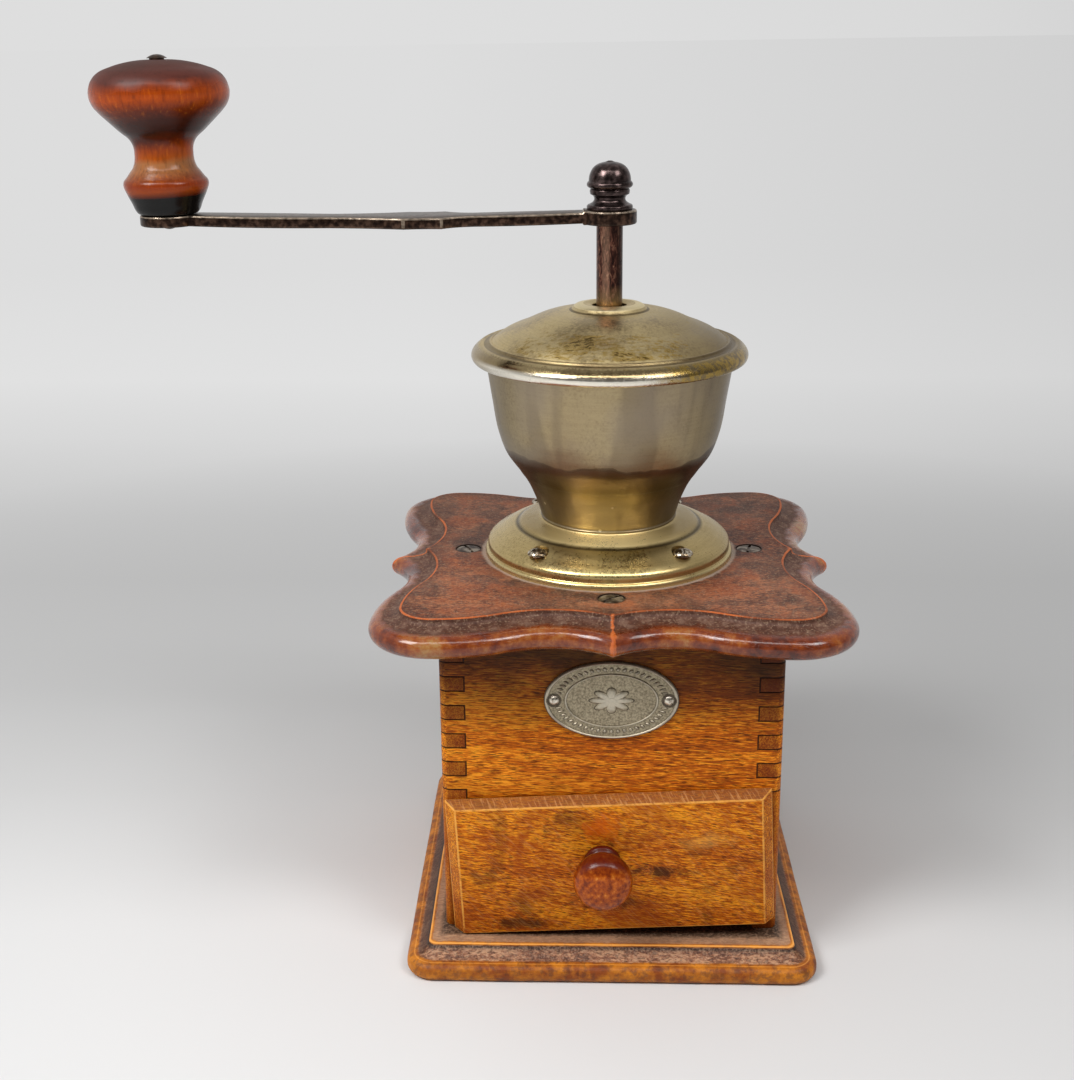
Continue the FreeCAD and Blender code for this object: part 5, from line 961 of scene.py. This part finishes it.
# Mill shaft: a forged iron rod with a square end for the crank, brown with old rust.
# It is pitted where hands and beans have wetted it, and rubbed brassy where the lid slides.
shaft_iron, tree = new_finish("Brown rusted iron rod")
place = add(tree, "ShaderNodeTexCoord", out="Object")
drawn = add(tree, "ShaderNodeMapping", {"Vector": place, "Scale": (1.0, 1.0, 0.3)})
pits = add(tree, "ShaderNodeTexNoise", {
    "Vector": drawn, "Scale": 900.0, "Detail": 5.0, "Roughness": 0.7, "Distortion": 1.0})
shade = add(tree, "ShaderNodeValToRGB", {"Fac": pits}, stops=[
    (0.4, hue("#1c0e0b")), (0.5, hue("#482820")), (0.58, hue("#7c5040")), (0.68, hue("#b08c70"))])
# A painted highlight down the face turned front-left, and painted shade on the side turned right
facing = add(tree, "ShaderNodeTexCoord", out="Normal")
toward = add(tree, "ShaderNodeVectorMath", {
    0: facing, 1: (-0.3, -0.954, 0.0)}, out="Value", operation="DOT_PRODUCT")
painted_lit_face = add(tree, "ShaderNodeMapRange", {
    "Value": toward, "From Min": 0.93, "From Max": 0.99, "To Max": 0.55})
painted_lit_face = add(tree, "ShaderNodeMath", {0: painted_lit_face, 1: pits}, operation="MULTIPLY")
away = add(tree, "ShaderNodeMapRange", {
    "Value": add(tree, "ShaderNodeSeparateXYZ", {"Vector": facing}), "From Min": 0.1,
    "From Max": 0.7, "To Max": 0.75})
level = add(tree, "ShaderNodeSeparateXYZ", {"Vector": place}, out="Z")
rubbed = add(tree, "ShaderNodeMapRange", {
    "Value": level, "From Min": 209 * MM, "From Max": 202 * MM, "To Max": 0.5})
for mask, tint in ((painted_lit_face, "#d0a488"), (away, "#24120a"), (rubbed, "#a8895a")):
    shade = add(tree, "ShaderNodeMix", {
        "Factor": mask, "A": shade, "B": hue(tint)}, data_type="RGBA")
rub = add(tree, "ShaderNodeMapRange", {"Value": pits, "To Min": 0.2, "To Max": 0.4})
coat(tree, shade, rub, pits, 0.12, Metallic=0.85)
keep_shape(shaft_iron, "mill_shaft")

# Crank arm: a flat bar of forged iron, waisted and cusped by the file, with an eye for the knob.
# Its dark skin is worn to pale brown metal along the upper edges, which also stand as painted
# highlight; its top is painted lighter.
arm = eased_copy("crank_arm", "crank_arm_filed", 0.55)
arm_iron, tree = new_finish("Forged iron, filed and handled")
place = add(tree, "ShaderNodeTexCoord", out="Object")
pits = add(tree, "ShaderNodeTexNoise", {"Vector": place, "Scale": 1000.0, "Detail": 6.0})
clouds = add(tree, "ShaderNodeTexNoise", {"Vector": place, "Scale": 620.0, "Detail": 5.0})
shade = add(tree, "ShaderNodeValToRGB", {"Fac": clouds}, stops=[
    (0.36, hue("#1e120e")), (0.5, hue("#37271f")), (0.64, hue("#584236"))])
edge = add(tree, "ShaderNodeAttribute", attribute_name="edge", out="Fac")
chance = add(tree, "ShaderNodeMapRange", {
    "Value": clouds, "From Min": 0.38, "From Max": 0.56, "To Min": 0.4, "To Max": 0.9})
worn = add(tree, "ShaderNodeMath", {0: edge, 1: chance}, operation="MULTIPLY")
# The pale edges are kept to those facing up, as painted highlight with the wear; the top face is
# painted lighter
upward = add(tree, "ShaderNodeSeparateXYZ", {"Vector": add(
    tree, "ShaderNodeNewGeometry", out="Normal")}, out="Z")
above = add(tree, "ShaderNodeMapRange", {"Value": upward, "From Min": -0.3, "From Max": 0.1})
worn = add(tree, "ShaderNodeMath", {0: worn, 1: above}, operation="MULTIPLY")
painted_lit_face = add(tree, "ShaderNodeMapRange", {
    "Value": upward, "From Min": 0.7, "From Max": 0.95, "To Max": 0.15})
for mask, tint in ((worn, "#b8a692"), (painted_lit_face, "#9c8874")):
    shade = add(tree, "ShaderNodeMix", {
        "Factor": mask, "A": shade, "B": hue(tint)}, data_type="RGBA")
rub = add(tree, "ShaderNodeMapRange", {"Value": pits, "To Min": 0.2, "To Max": 0.45})
coat(tree, shade, rub, pits, 0.08, Metallic=0.9)
fit(arm, arm_iron, "crank", "crank_iron", "crank_arm")

# Cap nut: iron, turned to an acorn on a waisted collar, and black with oil.
# It screws down on the shaft's stud and holds the arm on the square.
cap_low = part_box("cap_nut")[0].z / MM
cap_iron, tree = new_finish("Turned iron, oil black")
place = add(tree, "ShaderNodeTexCoord", out="Object")
pits = add(tree, "ShaderNodeTexNoise", {"Vector": place, "Scale": 600.0, "Detail": 3.0})
shade = add(tree, "ShaderNodeValToRGB", {"Fac": pits}, stops=[
    (0.35, hue("#2c2322")), (0.5, hue("#443836")), (0.68, hue("#645452"))])
rub = add(tree, "ShaderNodeMapRange", {"Value": pits, "To Min": 0.16, "To Max": 0.32})
coat(tree, shade, rub, pits, 0.006, Metallic=0.9)
cap = turned("cap_nut_turned", cap_iron, [
    (0.02, 0.0, 1), (7.0, 0.0), (7.15, 0.3), (7.15, 1.2), (6.8, 1.6, 1), (6.1, 1.9), (5.1, 2.7),
    (4.9, 3.5), (5.3, 4.3), (6.1, 4.8, 1), (6.2, 5.2), (6.2, 6.1), (5.95, 6.45, 1), (6.5, 6.75),
    (7.1, 7.3), (7.2, 7.9), (6.9, 8.5), (6.6, 8.8, 1), (6.5, 10.0), (6.1, 11.4), (5.2, 12.9),
    (3.9, 13.9), (2.5, 14.4), (1.4, 14.65), (0.6, 14.95), (0.02, 15.0, 1)],
    foot=(0, 0, cap_low), steps=96)
fit(cap, cap_iron, "crank", "crank_iron", "cap_nut")

# Crank knob: beech turned in one piece, stained red-brown, with a black band at the foot.
# The rivet through it holds it to the arm's eye, and the knob spins on that rivet.
knob_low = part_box("crank_knob")[0].z / MM
knob_axis, knob_height = -139.5, 46.85
knob_wood, tree = new_finish("Red-brown stained beech, turned and handled")
place = add(tree, "ShaderNodeTexCoord", out="Object")
axis = add(tree, "ShaderNodeMapping", {"Vector": place, "Location": (-knob_axis * MM, 0.0, 0.0)})
drawn = add(tree, "ShaderNodeMapping", {"Vector": axis, "Scale": (1.0, 1.0, 0.18)})
fibres = add(tree, "ShaderNodeTexNoise", {
    "Vector": drawn, "Scale": 900.0, "Detail": 5.0, "Roughness": 0.7})
level = add(tree, "ShaderNodeSeparateXYZ", {"Vector": place}, out="Z")
wave = add(tree, "ShaderNodeTexNoise", {"Vector": place, "Scale": 70.0, "Detail": 4.0})
high = add(tree, "ShaderNodeMapRange", {
    "Value": level, "From Min": (knob_low + 8.0) * MM, "From Max": (knob_low + 14.0) * MM,
    "To Max": 6 * MM})
wavy = add(tree, "ShaderNodeMath", {0: wave, 1: -0.5}, operation="ADD")
lapped = add(tree, "ShaderNodeMath", {0: wavy, 1: high, 2: level}, operation="MULTIPLY_ADD")
across = add(tree, "ShaderNodeSeparateXYZ", {"Vector": axis})
lapped = add(tree, "ShaderNodeMath", {0: across, 1: -0.04, 2: lapped}, operation="MULTIPLY_ADD")
heights = add(tree, "ShaderNodeMapRange", {
    "Value": lapped, "From Min": knob_low * MM, "From Max": (knob_low + knob_height) * MM})
# Colour by height: under the belly the wood is painted darker, as stain and painted shade
tone = add(tree, "ShaderNodeValToRGB", {"Fac": heights}, stops=[
    (0.0, hue("#0a0908")), (0.118, hue("#0c0a09")), (0.126, hue("#4a1804")),
    (0.165, hue("#963e0c")), (0.2, hue("#84300c")), (0.235, hue("#7c3a1a")),
    (0.28, hue("#8e5a34")), (0.33, hue("#9a643c")), (0.37, hue("#a84c0a")),
    (0.43, hue("#9c3e06")), (0.49, hue("#581c04")), (0.55, hue("#300f05")),
    (0.62, hue("#421606")), (0.69, hue("#702804")), (0.77, hue("#aa4404")),
    (0.82, hue("#8c360a")), (0.88, hue("#52241a")), (1.0, hue("#3e2018"))])
veins = add(tree, "ShaderNodeMapRange", {
    "Value": fibres, "From Min": 0.5, "From Max": 0.66, "To Max": 0.4})
barred = add(tree, "ShaderNodeMapRange", {
    "Value": level, "From Min": (knob_low + 7.0) * MM, "From Max": (knob_low + 12.0) * MM})
veins = add(tree, "ShaderNodeMath", {0: veins, 1: barred}, operation="MULTIPLY")
flame = add(tree, "ShaderNodeMapRange", {
    "Value": fibres, "From Min": 0.44, "From Max": 0.34, "To Max": 0.5})
lit = add(tree, "ShaderNodeMath", {0: wave, 1: flame}, operation="MULTIPLY")
lit = add(tree, "ShaderNodeMath", {0: lit, 1: barred}, operation="MULTIPLY")
sound = add(tree, "ShaderNodeMath", {0: heights, 1: 0.57, 2: 0.08}, operation="COMPARE")
below_top = add(tree, "ShaderNodeMapRange", {"Value": heights, "From Min": 0.86, "From Max": 0.8})
sound = add(tree, "ShaderNodeMath", {0: below_top, 1: sound}, operation="SUBTRACT", use_clamp=True)
lit = add(tree, "ShaderNodeMath", {0: lit, 1: sound}, operation="MULTIPLY")
for mask, tint in ((veins, "#2a0e06"), (lit, "#e07a14")):
    tone = add(tree, "ShaderNodeMix", {"Factor": mask, "A": tone, "B": hue(tint)}, data_type="RGBA")
dust = add(tree, "ShaderNodeMapRange", {"Value": heights, "From Min": 0.8, "From Max": 0.95})
rough = add(tree, "ShaderNodeMapRange", {"Value": dust, "To Min": 0.22, "To Max": 0.6})
coat(tree, tone, rough, fibres, 0.05, Specular_IOR_Level=0.25)
knob = turned("crank_knob_turned", knob_wood, [
    (2.4, 0.0, 1), (8.9, 0.0), (9.6, 0.5), (11.0, 3.5), (12.6, 7.0), (13.1, 8.4), (13.2, 9.4),
    (12.9, 10.4), (12.2, 11.2, 1), (10.9, 13.0), (9.8, 14.6), (9.1, 18.2), (9.8, 22.2),
    (13.3, 25.7), (16.7, 29.0), (19.0, 31.3), (20.7, 33.6), (21.5, 36.6), (21.2, 39.0),
    (20.3, 41.1), (18.4, 43.1), (14.6, 44.8), (9.3, 46.2), (5.2, 46.75), (2.4, knob_height, 1)],
    foot=(knob_axis, 0, knob_low), steps=144, dent=0.15)
fit(knob, knob_wood, "knob", "knob_wood", "crank_knob")
keep_shape(arm_iron, "knob_rivet")

# Badge: a stamped oval of nickel-plated sheet, held by two round-headed nails.
# Its rim and inner line are raised, with a border of beads between them and a plain rosette.
badge_low, badge_high = (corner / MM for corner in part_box("badge_plate"))
badge_wide, badge_tall = (badge_high.x - badge_low.x) / 2, (badge_high.z - badge_low.z) / 2
badge_mid, relief, ground_rise = (badge_high.z + badge_low.z) / 2, 0.5, 0.16
nail_low, nail_high = (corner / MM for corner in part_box("badge_nails"))
nail_radius = (nail_high.z - nail_low.z) / 2
nail_reach = nail_high.x - nail_radius
nickel, tree = new_finish("Nickel-plated sheet, dull")
place = add(tree, "ShaderNodeTexCoord", out="Object")
haze = add(tree, "ShaderNodeTexNoise", {
    "Vector": place, "Scale": 1400.0, "Detail": 4.0, "Roughness": 0.65})
shade = add(tree, "ShaderNodeValToRGB", {"Fac": haze}, stops=[
    (0.38, hue("#7c715c")), (0.5, hue("#988c74")), (0.62, hue("#b0a48a"))])
raised = add(tree, "ShaderNodeAttribute", attribute_name="raised", out="Fac")
rubbed = add(tree, "ShaderNodeMapRange", {
    "Value": raised, "From Min": 0.25, "From Max": 0.9, "To Max": 0.7})
# The feet of the raised work, the rings round the nails and the plate's edge are painted dark, as
# painted shade
foot = add(tree, "ShaderNodeMath", {0: raised, 1: ground_rise, 2: 0.1}, operation="COMPARE")
foot = add(tree, "ShaderNodeMath", {0: foot, 1: 0.8}, operation="MULTIPLY")
for mask, tint in ((rubbed, "#d4ccba"), (foot, "#3a302a")):
    shade = add(tree, "ShaderNodeMix", {
        "Factor": mask, "A": shade, "B": hue(tint)}, data_type="RGBA")
rub = add(tree, "ShaderNodeMapRange", {"Value": haze, "To Min": 0.3, "To Max": 0.5})
coat(tree, shade, rub, haze, 0.04, Metallic=0.75)


def stamped(share, turn):
    """How high the die has raised the sheet, from 0 to 1, at a share of the way to its rim."""
    def line(middle, half):
        return max(0.0, 1 - abs(share - middle) / half) ** 0.5

    across, up = share * badge_wide * math.cos(turn), share * badge_tall * math.sin(turn)
    if math.hypot(abs(across) - nail_reach, up) < nail_radius + 0.7:
        return ground_rise
    # 52 beads in the border, none of them beside the nails
    bead = max(0.0, 1 - ((math.sin(turn * 26) ** 2) * 1.6 + (abs(share - 0.81) / 0.055) ** 2))
    if abs(math.sin(turn)) < 0.2:
        bead = -1.0
    petal = 0.2 + 0.15 * abs(math.cos(turn * 4))
    rosette = 0.9 * max(0.0, 1 - (share / petal) ** 4) if share > 0.07 else 1.0
    rise = max(0.0, line(0.965, 0.03), line(0.68, 0.02), 0.8 * bead, rosette)
    return rise if share < 0.99 else ground_rise


loops, raised_by = [], []
rows, steps = 120, 416
for row in range(rows):
    share = 1 - row / rows
    loop = []
    for step in range(steps):
        turn = 2 * math.pi * step / steps
        rise = stamped(share, turn)
        loop.append(Vector((share * badge_wide * math.cos(turn), badge_low.y + relief * (1 - rise),
                            badge_mid + share * badge_tall * math.sin(turn))))
        raised_by.append(rise)
    loops.append(loop)
rear = [Vector((point.x, badge_high.y, point.z)) for point in loops[0]]
badge = skin("badge_plate_stamped", [rear] + loops)
raised_layer = badge.data.attributes.new("raised", "FLOAT", "POINT")
raised_layer.data.foreach_set("value", [0.5] * steps + raised_by)
fit(badge, nickel, "case", "badge_nickel", "badge_plate")
nails, tree = new_finish("Nickel-plated nail heads")
place = add(tree, "ShaderNodeTexCoord", out="Object")
haze = add(tree, "ShaderNodeTexNoise", {"Vector": place, "Scale": 900.0, "Detail": 4.0})
shade = add(tree, "ShaderNodeValToRGB", {"Fac": haze}, stops=[
    (0.4, hue("#a89c8c")), (0.6, hue("#e8e0d0"))])
rub = add(tree, "ShaderNodeMapRange", {"Value": haze, "To Min": 0.2, "To Max": 0.35})
coat(tree, shade, rub, haze, 0.02, Metallic=1.0)
keep_shape(nails, "badge_nails")

# Drawer: a beech front on a plain box of thin beech boards, nailed together.
# It sits loose in its opening, tilted; its face is scratched, blotched and amber like the case.
drawer_wood, tree = new_finish("Amber stained beech, scratched")
place, colour, height = grain(
    tree, "x", hue("#8a3e06"), hue("#c0600a"), hue("#e8961e"), hue("#4e2404"), stretch=0.12,
    band=9.0, fleck=0.42, show=0.8, lean=0.14)
blotch = add(tree, "ShaderNodeTexNoise", {
    "Vector": place, "Scale": 48.0, "Detail": 5.0, "Roughness": 0.6, "Distortion": 0.6})
red = add(tree, "ShaderNodeMapRange", {
    "Value": blotch, "From Min": 0.5, "From Max": 0.62, "To Max": 0.6})
dark = add(tree, "ShaderNodeMapRange", {
    "Value": blotch, "From Min": 0.42, "From Max": 0.32, "To Max": 0.6})
for mask, tint in ((red, "#96400a"), (dark, "#4e2608")):
    colour = add(tree, "ShaderNodeMix", {
        "Factor": mask, "A": colour, "B": hue(tint)}, data_type="RGBA")
ragged = add(tree, "ShaderNodeTexNoise", {
    "Vector": place, "Scale": 160.0, "Detail": 6.0, "Roughness": 0.75, "Distortion": 0.5})


def spot(x, z, wide, tall):
    """A patch of the drawer's face: its middle and half sizes in mm, with a ragged edge."""
    offset = add(tree, "ShaderNodeMapping", {
        "Vector": place, "Location": (-x / wide, 0.0, -z / tall),
        "Scale": (1000 / wide, 0.0, 1000 / tall)})
    from_middle = add(tree, "ShaderNodeVectorMath", {0: offset}, out="Value", operation="LENGTH")
    torn = add(tree, "ShaderNodeMath", {
        0: ragged, 1: -3.2, 2: from_middle}, operation="MULTIPLY_ADD")
    return add(tree, "ShaderNodeMapRange", {"Value": torn, "From Min": -0.75, "From Max": -1.45})


for x, z, wide, tall, code, strength in (
        (-3, 48, 11, 6, "#d05a0a", 0.7), (-30, 43, 14, 5, "#9a4008", 0.5),
        (16, 33, 13, 3, "#3a1c08", 0.9), (-26, 24, 12, 4, "#7a3008", 0.6),
        (-28, 14, 16, 3, "#3c1e0a", 0.8), (30, 44, 14, 4, "#d8a450", 0.3),
        (3, 22, 9, 3, "#5a2a08", 0.7)):
    patch = add(tree, "ShaderNodeMath", {
        0: spot(x, z, wide, tall), 1: strength}, operation="MULTIPLY")
    colour = add(tree, "ShaderNodeMix", {
        "Factor": patch, "A": colour, "B": hue(code)}, data_type="RGBA")
facing = add(tree, "ShaderNodeNewGeometry", out="Normal")
tilt = add(tree, "ShaderNodeSeparateXYZ", {"Vector": facing}, out="Z")
bevel = add(tree, "ShaderNodeMapRange", {
    "Value": tilt, "From Min": 0.25, "From Max": 0.4, "To Max": 0.7})
scored = add(tree, "ShaderNodeMapping", {
    "Vector": place, "Rotation": (0.0, 0.75, 0.0), "Scale": (12.0, 12.0, 1.0)},
    vector_type="TEXTURE")
scratches = add(tree, "ShaderNodeTexNoise", {"Vector": scored, "Scale": 2400.0, "Detail": 3.0})
often = add(tree, "ShaderNodeMapRange", {"Value": bevel, "To Min": 0.2, "To Max": 0.7})
scratch = add(tree, "ShaderNodeMapRange", {
    "Value": scratches, "From Min": 0.53, "From Max": 0.65, "To Max": often})
edge = add(tree, "ShaderNodeAttribute", attribute_name="edge", out="Fac")
chance = add(tree, "ShaderNodeMapRange", {
    "Value": ragged, "From Min": 0.36, "From Max": 0.52, "To Min": 0.1, "To Max": 0.8})
worn = add(tree, "ShaderNodeMath", {0: edge, 1: chance}, operation="MULTIPLY")
for mask, tint in ((bevel, "#80502e"), (scratch, "#c8905a"), (worn, "#eca84c")):
    colour = add(tree, "ShaderNodeMix", {
        "Factor": mask, "A": colour, "B": hue(tint)}, data_type="RGBA")
coat(tree, colour, 0.45, height, 0.05, Specular_IOR_Level=0.13)
drawer_front = eased_copy("drawer_front", "drawer_front_worn", 0.4)
fit(drawer_front, drawer_wood, "drawer", "drawer_wood", "drawer_front")

# Unfinished beech, coffee-stained, for the boards of the box behind the front
plain_wood, tree = new_finish("Unfinished beech, coffee-stained")
place, colour, height = grain(
    tree, "y", hue("#7c5a38"), hue("#a17a4c"), hue("#b8915f"), hue("#5d4126"))
coat(tree, colour, 0.7, height, 0.06)
keep_shape(plain_wood, "drawer_side_left", "drawer_side_right", "drawer_back", "drawer_bottom")
keep_shape(steel, "drawer_knob_screw")

# The drawer's knob: beech turned in one piece, held by one screw, dark in its neck and on top
pull_low, pull_high = (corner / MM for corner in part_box("drawer_knob"))
pull_axis = ((pull_low.x + pull_high.x) / 2, (pull_low.z + pull_high.z) / 2)
pull_wood, tree = new_finish("Red-brown stained beech, drawer knob")
place = add(tree, "ShaderNodeTexCoord", out="Object")
fibres = add(tree, "ShaderNodeTexNoise", {
    "Vector": place, "Scale": 700.0, "Detail": 6.0, "Roughness": 0.6})
tone = add(tree, "ShaderNodeValToRGB", {"Fac": fibres}, stops=[
    (0.34, hue("#6e2a06")), (0.5, hue("#9c4408")), (0.64, hue("#ba6014")), (0.74, hue("#d08a38"))])
depth = add(tree, "ShaderNodeSeparateXYZ", {"Vector": place}, out="Y")
neck = add(tree, "ShaderNodeMapRange", {
    "Value": depth, "From Min": (pull_low.y + 9.5) * MM, "From Max": (pull_low.y + 12.5) * MM,
    "To Max": 0.8})
brow = add(tree, "ShaderNodeSeparateXYZ", {"Vector": add(
    tree, "ShaderNodeNewGeometry", out="Normal")}, out="Z")
above = add(tree, "ShaderNodeMapRange", {
    "Value": brow, "From Min": 0.25, "From Max": 0.65, "To Max": 0.85})
for mask, tint in ((neck, "#200c06"), (above, "#520f06")):
    tone = add(tree, "ShaderNodeMix", {"Factor": mask, "A": tone, "B": hue(tint)}, data_type="RGBA")
coat(tree, tone, 0.22, fibres, 0.1, Specular_IOR_Level=0.28)
pull = turned("drawer_knob_turned", pull_wood, [
    (1.9, 0.0, 1), (5.7, 0.0), (5.9, 0.4), (5.8, 1.7), (5.5, 2.0, 1), (4.9, 2.6), (4.6, 4.4),
    (5.4, 6.2), (7.6, 7.6), (8.7, 9.4), (9.1, 12.0), (8.3, 14.7), (6.2, 16.4), (3.4, 17.3),
    (0.02, 17.6, 1), (0.02, 9.3, 1), (1.9, 9.3, 1)], steps=96)
pull.data.transform(Matrix.Translation(Vector((pull_axis[0], pull_high.y, pull_axis[1])) * MM)
                    @ Matrix.Rotation(math.pi / 2, 4, "X"))
fit(pull, pull_wood, "drawer", "knob_wood", "drawer_knob")

# Studio: a sheet of grey paper that the mill stands on, three softboxes and the camera.
# The room behind the camera is dim, so that the brass and the varnish have something to mirror.
camera_place = Vector((-11.29, -483.11, 287.10)) * MM
pitch, yaw, roll = math.radians(16.86), math.radians(-2.72), math.radians(-0.90)
ahead = Vector((math.sin(yaw) * math.cos(pitch), math.cos(yaw) * math.cos(pitch), -math.sin(pitch)))
side = Vector((math.cos(yaw), -math.sin(yaw), 0))
over = side.cross(ahead)
side, over = (math.cos(roll) * side + math.sin(roll) * over,
              math.cos(roll) * over - math.sin(roll) * side)
# The view is 1074 by 1080 pixels, the lens's length is 1525.5 of them, and the camera's axis meets
# the view left of its middle and above it
view_wide, view_tall, focal, axis_right, axis_down = 1074, 1080, 1525.5, 504.8, 490.2
lens = bpy.data.cameras.new("portrait lens")
lens.sensor_width, lens.lens, lens.clip_start = 36.0, focal * 36.0 / view_tall, 0.01
lens.shift_x = (view_wide / 2 - axis_right) / view_tall
lens.shift_y = (axis_down - view_tall / 2) / view_tall
camera = place_piece("camera", lens)
facing = Matrix((side, over, -ahead)).transposed().to_4x4()
camera.matrix_world = Matrix.Translation(camera_place) @ facing
bpy.context.scene.camera = camera

sheet = bpy.data.meshes.new("paper")
sheet.from_pydata([(-30, -30, 0), (30, -30, 0), (30, 30, 0), (-30, 30, 0)], [], [(0, 1, 2, 3)])
place_piece("paper", sheet)
paper, tree = new_finish("Grey background paper")
place = add(tree, "ShaderNodeTexCoord", out="Object")
far = add(tree, "ShaderNodeSeparateXYZ", {"Vector": place}, out="Y")
across = add(tree, "ShaderNodeSeparateXYZ", {"Vector": place}, out="X")
# The paper is painted with shade: a darker band behind the mill, and darker towards the right
depth = add(tree, "ShaderNodeMapRange", {"Value": far, "From Min": -0.2, "From Max": 1.4})
painted_falloff = add(tree, "ShaderNodeValToRGB", {"Fac": depth}, stops=[
    (0.0, hue("#e4e4e4")), (0.1, hue("#dfdfdf")), (0.16, hue("#cecece")), (0.22, hue("#c6c6c6")),
    (0.31, hue("#c2c2c2")), (0.38, hue("#c8c8c8")), (0.5, hue("#d8d8d8")), (0.62, hue("#e1e1e1")),
    (1.0, hue("#dddddd"))])
near = add(tree, "ShaderNodeMath", {0: far, 1: -0.2}, operation="MAXIMUM")
near = add(tree, "ShaderNodeMath", {0: near, 1: 0.6}, operation="ADD")
fan = add(tree, "ShaderNodeMath", {0: across, 1: near}, operation="DIVIDE")
aside = add(tree, "ShaderNodeMapRange", {"Value": fan, "From Min": -0.1, "From Max": 0.35})
lean = add(tree, "ShaderNodeMix", {
    "Factor": aside, "A": hue("#ffffff"), "B": hue("#efefef")}, data_type="RGBA")
shade = add(tree, "ShaderNodeMix", {
    "Factor": 1.0, "A": painted_falloff, "B": lean}, data_type="RGBA", blend_type="MULTIPLY")
sunk = add(tree, "ShaderNodeVectorMath", {0: shade, "Scale": 0.95}, operation="SCALE")
lit = add(tree, "ShaderNodeBsdfDiffuse", {"Color": sunk})
glow = add(tree, "ShaderNodeEmission", {"Color": shade})
reach = add(tree, "ShaderNodeVectorMath", {0: place}, out="Value", operation="LENGTH")
away = add(tree, "ShaderNodeMapRange", {"Value": reach, "From Min": 0.18, "From Max": 0.6})
way = tree.nodes.new("ShaderNodeLightPath").outputs
mirrored = add(tree, "ShaderNodeMath", {
    0: way["Is Camera Ray"], 1: way["Is Glossy Ray"]}, operation="MAXIMUM")
painted = add(tree, "ShaderNodeMath", {0: away, 1: mirrored}, operation="MULTIPLY")
ground = add(tree, "ShaderNodeMixShader", {0: painted, 1: lit, 2: glow})
add(tree, "ShaderNodeOutputMaterial", {"Surface": ground})
sheet.materials.append(paper)


def softbox(name, turn, rise, reach, width, tall, power):
    """A square lamp aimed at the mill from so many degrees to the right of the camera and up."""
    turn, rise = math.radians(turn), math.radians(rise)
    away = Vector((
        math.sin(turn) * math.cos(rise), -math.cos(turn) * math.cos(rise), math.sin(rise)))
    light = bpy.data.lights.new(name, "AREA")
    light.shape, light.size, light.size_y, light.energy = "RECTANGLE", width, tall, power
    holder = place_piece(name, light)
    middle = Vector((0, 0, 130)) * MM
    holder.location = middle + away * reach
    holder.rotation_euler = (-away).to_track_quat("-Z", "Y").to_euler()


softbox("left softbox", -52, 44, 1.15, 0.45, 0.45, 7.5)
softbox("right softbox", 50, 46, 1.15, 0.4, 0.4, 3.6)
softbox("front softbox", -2, 58, 1.1, 1.5, 0.2, 5.6)

world = bpy.data.worlds.new("studio")
bpy.context.scene.world = world
world.use_nodes = True
tree = world.node_tree
tree.nodes.clear()
look = add(tree, "ShaderNodeTexCoord", out="Generated")
turned_to = add(tree, "ShaderNodeVectorMath", {
    0: look, 1: (-0.25, 0.9, -0.25)}, out="Value", operation="DOT_PRODUCT")
turned_to = add(tree, "ShaderNodeMapRange", {
    "Value": turned_to, "From Min": -1.0, "From Max": 1.0})
room = add(tree, "ShaderNodeValToRGB", {"Fac": turned_to}, stops=[
    (0.0, hue("#5c5a58")), (0.3, hue("#787674")), (0.5, hue("#b0b0b0")), (0.64, hue("#cccccc")),
    (0.76, hue("#c8c8c8")), (0.86, hue("#cdcdcd")), (0.91, hue("#d9d9d9")), (0.96, hue("#dedede"))])
backdrop = add(tree, "ShaderNodeBackground", {"Color": room})
add(tree, "ShaderNodeOutputWorld", {"Surface": backdrop})
bpy.context.scene.view_settings.view_transform = "Standard"
